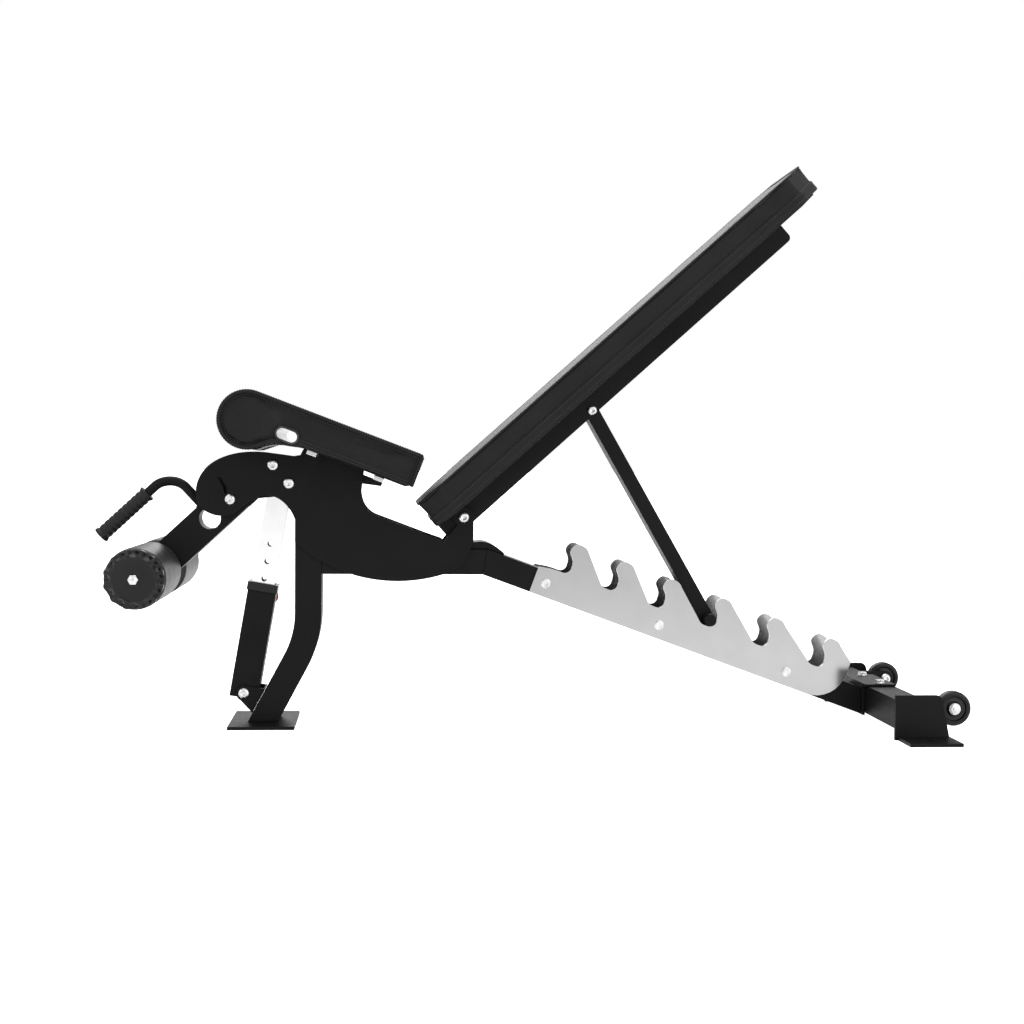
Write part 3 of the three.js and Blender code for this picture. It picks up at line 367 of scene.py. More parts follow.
class Sheet:
    """A material's node sheet, with short ways to add and join nodes."""

    def __init__(self, name: str) -> None:
        """Starts a material with its Principled shader."""
        self.material = bpy.data.materials.new(name)
        self.material.use_nodes = True
        self.tree = self.material.node_tree
        self.shader = self.tree.nodes["Principled BSDF"]
        self.coords = self.tree.nodes.new("ShaderNodeTexCoord").outputs["Object"]

    def node(self, kind: str, **settings: object) -> bpy.types.Node:
        """Adds a node; a setting is one of its properties or, with spaces as _, one of its inputs."""
        made = self.tree.nodes.new("ShaderNode" + kind)
        for key, value in settings.items():
            socket = made.inputs.get(key.replace("_", " "))
            if hasattr(made, key):
                setattr(made, key, value)
            elif isinstance(value, bpy.types.NodeSocket):
                self.tree.links.new(value, socket)
            else:
                socket.default_value = value
        return made

    def turned_coords(self, degrees: float, stretch: tuple[float, float, float]) -> bpy.types.NodeSocket:
        """Object coordinates turned about Y and stretched, for streaks along a sloping piece."""
        turned_node = self.node("Mapping", vector_type="TEXTURE", Vector=self.coords)
        turned_node.inputs["Rotation"].default_value = (0, -np.radians(degrees), 0)
        return self.node("Mapping", Vector=turned_node.outputs[0], Scale=stretch).outputs[0]

    def noise(self, scale: float, detail: float = 3, coords: Optional[bpy.types.NodeSocket] = None,
              roughness: float = 0.5) -> bpy.types.NodeSocket:
        """A noise from 0 to 1 of about 1/scale metres."""
        return self.node("TexNoise", Vector=coords or self.coords, Scale=scale, Detail=detail,
                         Roughness=roughness).outputs[0]

    def span(self, value: bpy.types.NodeSocket, low: float, high: float, start: float = 0.0,
             stop: float = 1.0) -> bpy.types.NodeSocket:
        """Maps a value from low..high to start..stop, held at the ends."""
        return self.node("MapRange", Value=value, From_Min=low, From_Max=high,
                         To_Min=start, To_Max=stop).outputs[0]

    def blend(self, share: bpy.types.NodeSocket, first: Sequence[float],
              second: Sequence[float]) -> bpy.types.NodeSocket:
        """A colour between two, by share."""
        mix = self.tree.nodes.new("ShaderNodeMix")
        mix.data_type = "RGBA"
        self.tree.links.new(share, mix.inputs[0])
        for socket, colour in ((mix.inputs[6], first), (mix.inputs[7], second)):
            if isinstance(colour, bpy.types.NodeSocket):
                self.tree.links.new(colour, socket)
            else:
                socket.default_value = (*colour, 1)
        return mix.outputs[2]

    def bump(self, height: bpy.types.NodeSocket, depth: float, strength: float = 1.0,
             under: Optional[bpy.types.NodeSocket] = None) -> bpy.types.NodeSocket:
        """A bump of a height, depth metres deep, on top of another bump where one is given."""
        made = self.node("Bump", Height=height, Distance=depth, Strength=strength)
        if under is not None:
            self.tree.links.new(under, made.inputs["Normal"])
        return made.outputs[0]

    def plug(self, socket: str, value: object) -> None:
        """Sets or joins one socket of the shader."""
        if isinstance(value, bpy.types.NodeSocket):
            self.tree.links.new(value, self.shader.inputs[socket])
        else:
            self.shader.inputs[socket].default_value = value


@dataclass(frozen=True)
class Paint:
    """Black satin powder coat: fine orange peel, faint clouding and a few dull scuffs."""

    name: str = "black_powder_coat"
    dark: tuple[float, float, float] = (0.0045, 0.0046, 0.0048)
    light: tuple[float, float, float] = (0.0070, 0.0071, 0.0075)
    scuff: tuple[float, float, float] = (0.018, 0.018, 0.019)
    peel: float = 520
    peel_depth: float = 0.00002
    sheen: float = 0.34

    def make(self) -> bpy.types.Material:
        """Builds the material."""
        sheet = Sheet(self.name)
        cloud = sheet.noise(9, 4)
        wear = sheet.span(sheet.noise(46, 6, roughness=0.72), 0.66, 0.8)
        coat = sheet.blend(sheet.span(cloud, 0.3, 0.7), self.dark, self.light)
        sheet.plug("Base Color", sheet.blend(wear, coat, self.scuff))
        sheet.plug("Roughness", sheet.span(sheet.noise(120, 4), 0.25, 0.75, self.sheen, self.sheen + 0.12))
        fine = sheet.bump(sheet.noise(self.peel, 2), self.peel_depth)
        sheet.plug("Normal", sheet.bump(sheet.noise(60, 2), 0.00008, 0.4, fine))
        sheet.plug("Specular IOR Level", 0.08)
        return sheet.material


@dataclass(frozen=True)
class Steel:
    """Bare or plated steel with streaks along its length and faint smudges."""

    name: str
    colour: tuple[float, float, float]
    smudge: tuple[float, float, float]
    roughness: float
    streak_degrees: float = 0.0
    streak_depth: float = 0.00002
    grain: tuple[float, float, float] = (14, 900, 900)

    def make(self) -> bpy.types.Material:
        """Builds the material."""
        sheet = Sheet(self.name)
        streak = sheet.noise(1, 3, sheet.turned_coords(self.streak_degrees, self.grain))
        smudge = sheet.span(sheet.noise(22, 5, roughness=0.6), 0.4, 0.75)
        sheet.plug("Base Color", sheet.blend(smudge, self.colour, self.smudge))
        sheet.plug("Metallic", 1.0)
        sheet.plug("Roughness", sheet.span(streak, 0.2, 0.8, self.roughness * 0.8, self.roughness * 1.25))
        sheet.plug("Normal", sheet.bump(streak, self.streak_depth))
        return sheet.material


@dataclass(frozen=True)
class Leather:
    """Black upholstery: small closed cells of grain, creases, and a slight change of sheen."""

    name: str = "black_upholstery"
    dark: tuple[float, float, float] = (0.0062, 0.0062, 0.0064)
    light: tuple[float, float, float] = (0.0092, 0.0092, 0.0095)
    cells: float = 560
    depth: float = 0.00003
    roughness: float = 0.42

    def make(self) -> bpy.types.Material:
        """Builds the material."""
        sheet = Sheet(self.name)
        warp = sheet.node("VectorMath", operation="MULTIPLY_ADD")
        wander = sheet.node("TexNoise", Vector=sheet.coords, Scale=240.0)
        sheet.tree.links.new(wander.outputs[1], warp.inputs[0])
        warp.inputs[1].default_value = (0.0016,) * 3
        sheet.tree.links.new(sheet.coords, warp.inputs[2])
        cells = sheet.node("TexVoronoi", feature="DISTANCE_TO_EDGE", Vector=warp.outputs[0], Scale=self.cells)
        grain = sheet.span(cells.outputs["Distance"], 0.0, 0.16)
        cloud = sheet.noise(14, 4)
        sheet.plug("Base Color", sheet.blend(sheet.span(cloud, 0.3, 0.7), self.dark, self.light))
        sheet.plug("Roughness", sheet.span(grain, 0.0, 1.0, self.roughness + 0.16, self.roughness))
        creases = sheet.bump(sheet.noise(30, 3, roughness=0.5), 0.0003, 0.2)
        sheet.plug("Normal", sheet.bump(grain, self.depth, 0.6, creases))
        sheet.plug("Specular IOR Level", 0.14)
        return sheet.material


@dataclass(frozen=True)
class Moulded:
    """Moulded or foamed stuff: fine skin texture, clouded colour and uneven gloss."""

    name: str
    dark: tuple[float, float, float]
    light: tuple[float, float, float]
    roughness: float
    skin: float = 900
    skin_depth: float = 0.00004
    shine: float = 0.3

    def make(self) -> bpy.types.Material:
        """Builds the material."""
        sheet = Sheet(self.name)
        cloud = sheet.noise(18, 5)
        sheet.plug("Base Color", sheet.blend(sheet.span(cloud, 0.3, 0.7), self.dark, self.light))
        sheet.plug("Roughness", sheet.span(sheet.noise(150, 3), 0.25, 0.75,
                                           self.roughness * 0.9, self.roughness * 1.15))
        sheet.plug("Normal", sheet.bump(sheet.noise(self.skin, 2), self.skin_depth))
        sheet.plug("Specular IOR Level", self.shine)
        return sheet.material


def grey(value: float) -> tuple[float, float, float]:
    """A neutral grey."""
    return (value,) * 3


FINISHES: dict[Slot, bpy.types.Material] = {
    Slot.FRAME_PAINT: Paint().make(),
    Slot.LADDER_STEEL: Steel("satin_ladder_steel", grey(0.42), grey(0.39), 0.13, streak_degrees=-20,
                             streak_depth=0.000006).make(),
    Slot.CHROME: Steel("chromed_post", grey(0.86), grey(0.78), 0.16, streak_degrees=80.4,
                       streak_depth=0.000006, grain=(10, 500, 500)).make(),
    Slot.ZINC: Steel("zinc_plate", grey(0.66), grey(0.52), 0.27, grain=(700, 700, 700)).make(),
    Slot.UPHOLSTERY: Leather().make(),
    Slot.BOARD: Moulded("backing_board", grey(0.008), grey(0.014), 0.75, 500, 0.0001).make(),
    Slot.FOAM: Moulded("roller_foam", grey(0.012), grey(0.020), 0.40, 1300, 0.00003).make(),
    Slot.RUBBER: Moulded("grip_rubber", grey(0.004), grey(0.007), 0.5, 900, 0.00003, shine=0.25).make(),
    Slot.PLASTIC: Moulded("black_plastic", grey(0.004), grey(0.006), 0.22, 800, 0.000005, shine=0.25).make(),
    Slot.RED_PLASTIC: Moulded("red_knob_plastic", (0.42, 0.008, 0.01), (0.52, 0.012, 0.014), 0.3,
                              shine=0.5).make(),
}
LINER = Moulded("smooth_slot_liner", grey(0.012), grey(0.016), 0.05, 300, 0.000002, shine=0.5).make()
THREAD = Moulded("black_thread", grey(0.016), grey(0.03), 0.6, 2600, 0.00006).make()


# ---------------------------------------------------------------- pieces from CAD nodes


@dataclass(frozen=True)
class EdgeBreak:
    """CAD nodes whose machined edges are broken by a small round, as paint and grinding leave them.

    Attributes:
        nodes: CAD node names.
        body: Their body.
        slot: Their slot.
        radius: Width of the round.
    """

    nodes: tuple[str, ...]
    body: Body
    slot: Slot
    radius: float = 0.9 * MM
    sliver: float = 0.02 * MM

    def is_sliver(self, face: bmesh.types.BMFace) -> bool:
        """Whether a triangle's height over its longest side is next to nothing."""
        longest = max(edge.calc_length() for edge in face.edges)
        return 2 * face.calc_area() < self.sliver * longest

    def build(self) -> None:
        """Makes a welded, rounded copy of each node, which stands for it."""
        for node in self.nodes:
            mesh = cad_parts[node].data.copy()
            mesh.name = node + "_finished"
            edit = bmesh.new()
            edit.from_mesh(mesh)
            bmesh.ops.remove_doubles(edit, verts=edit.verts, dist=2e-6)
            longest = {max(face.edges, key=lambda edge: edge.calc_length()) for face in edit.faces
                       if self.is_sliver(face)}
            bmesh.ops.dissolve_edges(edit, edges=list(longest), use_verts=False)
            bmesh.ops.dissolve_limit(edit, angle_limit=np.radians(0.4), verts=edit.verts, edges=edit.edges)
            edit.to_mesh(mesh)
            edit.free()
            obj = bpy.data.objects.new(node + "_finished", mesh)
            bpy.context.scene.collection.objects.link(obj)
            bevel = obj.modifiers.new("edge_break", "BEVEL")
            bevel.width, bevel.segments = self.radius, 2
            bevel.limit_method, bevel.angle_limit = "ANGLE", np.radians(32)
            bevel.harden_normals, bevel.use_clamp_overlap = True, True
            settle(obj, self.body, FINISHES[self.slot], [node], 32)


EDGE_BREAKS = (
    EdgeBreak(("front_leg", "main_beam", "spine_tube", "rear_cross_tube", "rear_saddle", "knee_strap",
               "seat_cheek_left", "seat_cheek_right"), Body.FRAME, Slot.FRAME_PAINT, 1.2 * MM),
    EdgeBreak(("seat_bar_front", "seat_bar_rear"), Body.FRAME, Slot.ZINC, 1.0 * MM),
    EdgeBreak(("front_foot_plate", "side_plate_left", "side_plate_right", "rear_foot_left", "rear_foot_right",
               "post_bracket"), Body.FRAME, Slot.FRAME_PAINT, 0.8 * MM),
    EdgeBreak(("ladder_plate_left", "ladder_plate_right"), Body.FRAME, Slot.LADDER_STEEL, 0.7 * MM),
    EdgeBreak(("back_frame",), Body.BACK, Slot.FRAME_PAINT, 1.6 * MM),
    EdgeBreak(("back_board",), Body.BACK, Slot.BOARD, 0.6 * MM),
    EdgeBreak(("strut", "strut_pin"), Body.STRUT, Slot.FRAME_PAINT, 1.0 * MM),
    EdgeBreak(("leg_arm",), Body.ARM, Slot.FRAME_PAINT, 0.9 * MM),
    EdgeBreak(("post_sleeve",), Body.POST_SLEEVE, Slot.FRAME_PAINT, 1.0 * MM),
    EdgeBreak(("sleeve_collar",), Body.POST_SLEEVE, Slot.PLASTIC, 1.2 * MM),
    EdgeBreak(("post_tube",), Body.POST_TUBE, Slot.CHROME, 1.0 * MM),
    EdgeBreak(("pop_pin_barrel",), Body.POST_SLEEVE, Slot.ZINC, 0.6 * MM),
)


def centre_and_span(node: str) -> tuple[np.ndarray, np.ndarray, np.ndarray]:
    """The middle, lowest corner and highest corner of a CAD node's box."""
    low, high = (np.array(corner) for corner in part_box(node))
    return (low + high) / 2, low, high


def stand_in(node: str, suffix: str, body: Body, slot: Slot, grid: np.ndarray,
             axes: Sequence[int] = (0, 2), sharp_degrees: float = 38) -> None:
    """Moves a grid to the middle of a CAD node's box and makes it the piece that stands for that node.

    Args:
        node: The CAD node.
        suffix: What is added to its name for the piece.
        body: The body it rides on.
        slot: Its material slot, which also gives its finish.
        grid: Points of shape (rows, columns, 3), closed round its columns.
        axes: The axes that the grid is moved along.
        sharp_degrees: Edges that turn further than this stay sharp.
    """
    middle = centre_and_span(node)[0]
    for axis in axes:
        grid[..., axis] += middle[axis]
    Piece(node + suffix, body, slot, FINISHES[slot], [node]).surface(
        grid, close_columns=True).build(sharp_degrees)


# ---------------------------------------------------------------- bolts


class Head(Enum):
    """How a bolt's outer end is shaped."""

    DOME = "dome"
    HEX = "hex"


@dataclass(frozen=True)
class Bolt:
    """A bolt across the bench, as one turned surface from its head to the end of its thread.

    Attributes:
        node: The CAD node it stands for; its place and ends come from that node's box.
        body: Its body.
        shank: Shank radius.
        head: Shape of the head.
        grip: Depth of the head, and of the nut.
        head_sign: The side of the bench that its head is on.
    """

    node: str
    body: Body
    shank: float
    grip: float
    head: Head = Head.DOME
    head_sign: int = -1

    def rows(self, head_radius: float, start: float, stop: float) -> np.ndarray:
        """The profile, as rows of radius, place and hexness, from the head's face to the nut's.

        Args:
            head_radius: Outer radius of the head.
            start: Place of the head's outer face.
            stop: Place of the nut's outer face.

        Returns:
            Rows for turned().
        """
        way = 1 if stop > start else -1
        deep = way * self.grip
        socket = 0.45 * head_radius
        if self.head is Head.DOME:
            face = [
                (0, start + 0.55 * deep, 1), (socket, start + 0.55 * deep, 1), (socket, start + 0.08 * deep, 1),
                (socket * 1.12, start, 0), (0.62 * head_radius, start + 0.03 * deep, 0),
                (0.84 * head_radius, start + 0.24 * deep, 0), (0.96 * head_radius, start + 0.6 * deep, 0),
                (head_radius, start + 0.86 * deep, 0), (head_radius, start + deep, 0),
            ]
        else:
            face = [
                (0, start + 0.1 * deep, 0), (0.6 * head_radius, start + 0.1 * deep, 0),
                (0.68 * head_radius, start, 0), (0.84 * head_radius, start, 0),
                (0.93 * head_radius, start + 0.12 * deep, 0.75), (0.93 * head_radius, start + 0.8 * deep, 1),
                (0.86 * head_radius, start + 0.82 * deep, 0), (head_radius, start + 0.84 * deep, 0),
                (head_radius, start + deep, 0),
            ]
        nut = [
            (self.shank, start + deep, 0), (self.shank, stop - deep, 0), (head_radius, stop - deep, 0),
            (head_radius, stop - 0.84 * deep, 0), (0.9 * head_radius, stop - 0.82 * deep, 0),
            (0.93 * head_radius, stop - 0.8 * deep, 1), (0.93 * head_radius, stop - 0.3 * deep, 0.8),
            (0.8 * head_radius, stop - 0.18 * deep, 0), (self.shank, stop - 0.18 * deep, 0),
            (0.92 * self.shank, stop, 0), (0, stop, 0),
        ]
        return np.array(face + nut)

    def build(self) -> None:
        """Makes the bolt in place of its CAD node."""
        _, low, high = centre_and_span(self.node)
        head_radius = max(high[0] - low[0], high[2] - low[2]) / 2
        start, stop = (low[1], high[1]) if self.head_sign < 0 else (high[1], low[1])
        grid = turned(soften(self.rows(head_radius, start, stop), 0.35 * MM, 3), 48)
        stand_in(self.node, "_turned", self.body, Slot.ZINC, grid)


BOLTS = (
    Bolt("shoulder_bolt_front_left", Body.FRAME, 5 * MM, 4.2 * MM),
    Bolt("shoulder_bolt_rear_left", Body.FRAME, 5 * MM, 4.2 * MM),
    Bolt("shoulder_bolt_front_right", Body.FRAME, 5 * MM, 4.2 * MM, head_sign=1),
    Bolt("shoulder_bolt_rear_right", Body.FRAME, 5 * MM, 4.2 * MM, head_sign=1),
    Bolt("arm_pivot_bolt", Body.FRAME, 6 * MM, 6 * MM),
    Bolt("back_pivot_bolt", Body.FRAME, 6 * MM, 6 * MM),
    Bolt("ladder_bolt_1", Body.FRAME, 5 * MM, 5 * MM, Head.HEX),
    Bolt("ladder_bolt_2", Body.FRAME, 5 * MM, 5 * MM, Head.HEX),
    Bolt("ladder_bolt_3", Body.FRAME, 5 * MM, 5 * MM, Head.HEX),
    Bolt("post_pivot_bolt", Body.FRAME, 5 * MM, 5 * MM),
    Bolt("strut_bolt", Body.BACK, 5 * MM, 5 * MM),
    Bolt("post_top_pin", Body.ARM, 4 * MM, 2 * MM),
    Bolt("wheel_axle_left", Body.FRAME, 5 * MM, 6 * MM, head_sign=1),
    Bolt("wheel_axle_right", Body.FRAME, 5 * MM, 6 * MM),
)


@dataclass
class SmallHardware:
    """The saddle bolts, the roller axle, and the spring pin with its knob."""

    def build(self) -> None:
        """Makes each piece in place of its CAD node."""
        for side in ("left", "right"):
            self.saddle_bolt("rear_saddle_bolt_" + side)
        self.roller_axle()
        self.knob()
        self.pin()

    def saddle_bolt(self, node: str) -> None:
        """An upright hexagon bolt with a washer, turned about Y and then stood up."""
        _, low, high = centre_and_span(node)
        head, top, bottom = 9 * MM, high[2], low[2]
        rows = np.array([
            (0, top - 0.4 * MM, 0), (5.4 * MM, top - 0.4 * MM, 0), (6 * MM, top, 0), (7.6 * MM, top, 0),
            (8.3 * MM, top - 0.9 * MM, 0.8), (8.3 * MM, top - 4.9 * MM, 1), (8 * MM, top - 5 * MM, 0),
            (head, top - 5.1 * MM, 0), (head, top - 6 * MM, 0), (5 * MM, top - 6 * MM, 0),
            (5 * MM, bottom + 1 * MM, 0), (4 * MM, bottom, 0), (0, bottom, 0),
        ])
        grid = turned(soften(rows, 0.3 * MM, 3), 48)[..., [0, 2, 1]]
        stand_in(node, "_turned", Body.FRAME, Slot.ZINC, grid, axes=(0, 1))

    def roller_axle(self) -> None:
        """The roller axle: a bar with a hexagon nut and a domed thread end on both sides."""
        shank, nut = 6 * MM, 9 * MM
        end = centre_and_span("roller_axle")[2][1]
        half = np.array([
            (0, end, 0), (0.6 * shank, end - 0.2 * MM, 0), (shank, end - 1.4 * MM, 0), (shank, end - 1.5 * MM, 0),
            (0.82 * nut, end - 0.4 * MM - 1.1 * MM, 0), (0.95 * nut, end - 2.2 * MM, 0.8), (nut, end - 2.6 * MM, 1),
            (nut, end - 4.2 * MM, 1), (shank, end - 4.2 * MM, 0),
        ])
        mirrored = half[::-1] * (1, -1, 1)
        grid = turned(soften(np.concatenate([half, mirrored]), 0.3 * MM, 3), 48)
        stand_in("roller_axle", "_turned", Body.ARM, Slot.ZINC, grid)

    def knob(self) -> None:
        """The red pull knob: eight finger flats, radius * (1 - 0.06 * (0.5 + 0.5 cos 8 turn)) at its rim."""
        _, low, high = centre_and_span("pop_pin_knob")
        radius = (high[0] - low[0]) / 2
        near, far = low[1], high[1]
        bore, depth = 4.4 * MM, 12.6 * MM
        rows = np.array([
            (bore, near + depth), (bore, near), (0.55 * radius, near), (0.62 * radius, near + 3 * MM),
            (0.96 * radius, near + 5 * MM), (radius, near + 8 * MM), (radius, far - 5 * MM),
            (0.86 * radius, far - 0.6 * MM), (0.5 * radius, far), (0.3 * radius, far - 0.6 * MM), (0, far - 0.6 * MM),
        ])
        rows = np.concatenate([[(0, near + depth)], rows])

        def flats(turn: np.ndarray, ring: np.ndarray, place: np.ndarray) -> np.ndarray:
            """Eight finger flats, which deepen towards the knob's rim."""
            return ring * (1 - 0.06 * np.clip(ring / radius - 0.6, 0, 1) / 0.4 * (0.5 + 0.5 * np.cos(8 * turn)))

        grid = turned(soften(rows, 1.4 * MM, 5), 96, flats)
        stand_in("pop_pin_knob", "_moulded", Body.POP_PIN, Slot.RED_PLASTIC, grid)

    def pin(self) -> None:
        """The spring pin, with a tapered nose."""
        _, low, high = centre_and_span("pop_pin")
        radius = (high[0] - low[0]) / 2
        rows = np.array([(0, low[1]), (0.7 * radius, low[1]), (radius, low[1] + 2 * MM), (radius, high[1]),
                         (0, high[1])])
        grid = turned(soften(rows, 0.4 * MM, 4), 32)
        stand_in("pop_pin", "_turned", Body.POP_PIN, Slot.ZINC, grid)


# ---------------------------------------------------------------- wheels and rollers


@dataclass
class Wheel:
    """A moulded transport wheel with a dished web, a ringed rim and a raised hub."""

    side: str
    body: Body

    def build(self) -> None:
        """Makes the wheel: tread rings are radius * (1 - 0.008 * groove) at three places."""
        node = "wheel_" + self.side
        _, low, high = centre_and_span(node)
        radius, half = (high[0] - low[0]) / 2, (high[1] - low[1]) / 2
        hub = 5.4 * MM
        one = np.array([
            (hub, 0), (hub, half), (hub + 5 * MM, half), (hub + 6.5 * MM, half - 1.5 * MM),
            (hub + 7.5 * MM, half - 4 * MM), (radius - 10 * MM, half - 4.6 * MM), (radius - 8.6 * MM, half - 1 * MM),
            (radius - 6.8 * MM, half - 0.4 * MM), (radius - 6.2 * MM, half - 1.6 * MM),
            (radius - 5.4 * MM, half - 0.6 * MM), (radius - 2.6 * MM, half - 1 * MM), (radius, half - 4 * MM),
            (radius, 3.4 * MM), (radius - 0.7 * MM, 2.8 * MM), (radius - 0.7 * MM, 2.2 * MM), (radius, 1.6 * MM),
            (radius, 0),
        ])
        rows = np.concatenate([soften(one, 0.7 * MM, 4), soften(one, 0.7 * MM, 4)[::-1] * (1, -1)])
        stand_in(node, "_moulded", self.body, Slot.PLASTIC, turned(rows, 96), axes=(0, 1, 2))


@dataclass
class Roller:
    """A foam roller and its scalloped end cap."""

    side: str
    body: Body
    lobes: int = 12
    dent: float = 8.5 * MM
    bore: float = 6.4 * MM
    swell: float = 0.4 * MM

    @property
    def sign(self) -> int:
        """Which side of the bench the roller is on."""
        return -1 if self.side == "left" else 1

    def build(self) -> None:
        """Makes the foam and the cap."""
        self.foam()
        self.cap()

    def foam(self) -> None:
        """The foam: a turned sleeve whose radius swells by 0.4 mm in slow waves round and along it."""
        node = "foam_roller_" + self.side
        _, low, high = centre_and_span(node)
        radius, bore = (high[0] - low[0]) / 2, self.bore
        ends = np.array([(bore, low[1]), (radius - 5 * MM, low[1]), (radius, low[1] + 5 * MM)])
        others = np.array([(radius, high[1] - 5 * MM), (radius - 5 * MM, high[1]), (bore, high[1])])
        along = np.linspace(low[1] + 9 * MM, high[1] - 9 * MM, 40)
        body = np.stack([np.full(40, radius), along], axis=1)
        rows = np.concatenate([soften(np.concatenate([ends, body[:1]]), 4 * MM, 7), body[1:-1],
                               soften(np.concatenate([body[-1:], others]), 4 * MM, 7)])

        def swell(turn: np.ndarray, ring: np.ndarray, place: np.ndarray) -> np.ndarray:
            """Slow waves: swell * sin(3 turn + 40 place) * cos(2 turn - 61 place), only near the skin."""
            share = np.clip((ring - bore) / (radius - bore), 0, 1) ** 4
            wave = np.sin(3 * turn + 40 * place) * np.cos(2 * turn - 61 * place)
            return ring - share * (self.swell - self.swell * wave)

        grid = turned(rows, 96, swell)
        grid = np.concatenate([grid, grid[:1]])
        stand_in(node, "_sleeve", self.body, Slot.FOAM, grid)

    def cap(self) -> None:
        """The cap: a disc with a ring of hollows.

        The face steps back from the end by dent * s * (0.06 + 0.94 * lobe), where lobe =
        (0.5 + 0.5 cos(lobes * turn)) ^ 0.8 and s rises smoothly from 0 at 0.71 of the radius to 1 at 0.88.
        """
        node = "roller_cap_" + self.side
        _, low, high = centre_and_span(node)
        radius, bore = (high[0] - low[0]) / 2, self.bore
        outer, inner = (low[1], high[1]) if self.sign < 0 else (high[1], low[1])
        way = 1 if inner > outer else -1
        turn = np.linspace(0, FULL_TURN, 288, endpoint=False)[None, :]
        lobe = (0.5 + 0.5 * np.cos(self.lobes * turn)) ** 0.8
        share = np.concatenate([
            np.array([bore / radius, 0.17, 0.18, 0.3, 0.5, 0.685]), np.linspace(0.70, 0.96, 18),
        ])[:, None]
        step = np.clip((share - 0.71) / 0.17, 0, 1)
        step = step * step * (3 - 2 * step)
        recess = self.dent * step * (0.06 + 0.94 * lobe) + 0.7 * MM * ((share > 0.175) & (share < 0.69))
        recess = recess + 0.9 * MM * np.exp(-((share - 0.705) / 0.009) ** 2)
        face_radius = share * radius + 0 * turn
        rim = radius - 2.0 * MM * lobe
        edge = 0.9 * MM
        back = np.abs(inner - outer)
        deepest = self.dent * (0.06 + 0.94 * lobe)
        rings = [(rim - 0.6 * edge, deepest + 0.15 * edge), (rim, deepest + edge), (rim, back + 0 * turn),
                 (0.8 * rim, back + 0 * turn), (bore + 0 * turn, back + 0 * turn)]
        r = np.concatenate([face_radius, *[ring for ring, _ in rings]])
        depth = np.concatenate([recess + 0 * turn, *[place for _, place in rings]])
        grid = np.stack([r * np.cos(turn), outer + way * depth, r * np.sin(turn)], axis=-1)
        grid = np.concatenate([grid, grid[:1]])
        stand_in(node, "_moulded", self.body, Slot.PLASTIC, grid, sharp_degrees=28)


# ---------------------------------------------------------------- handle


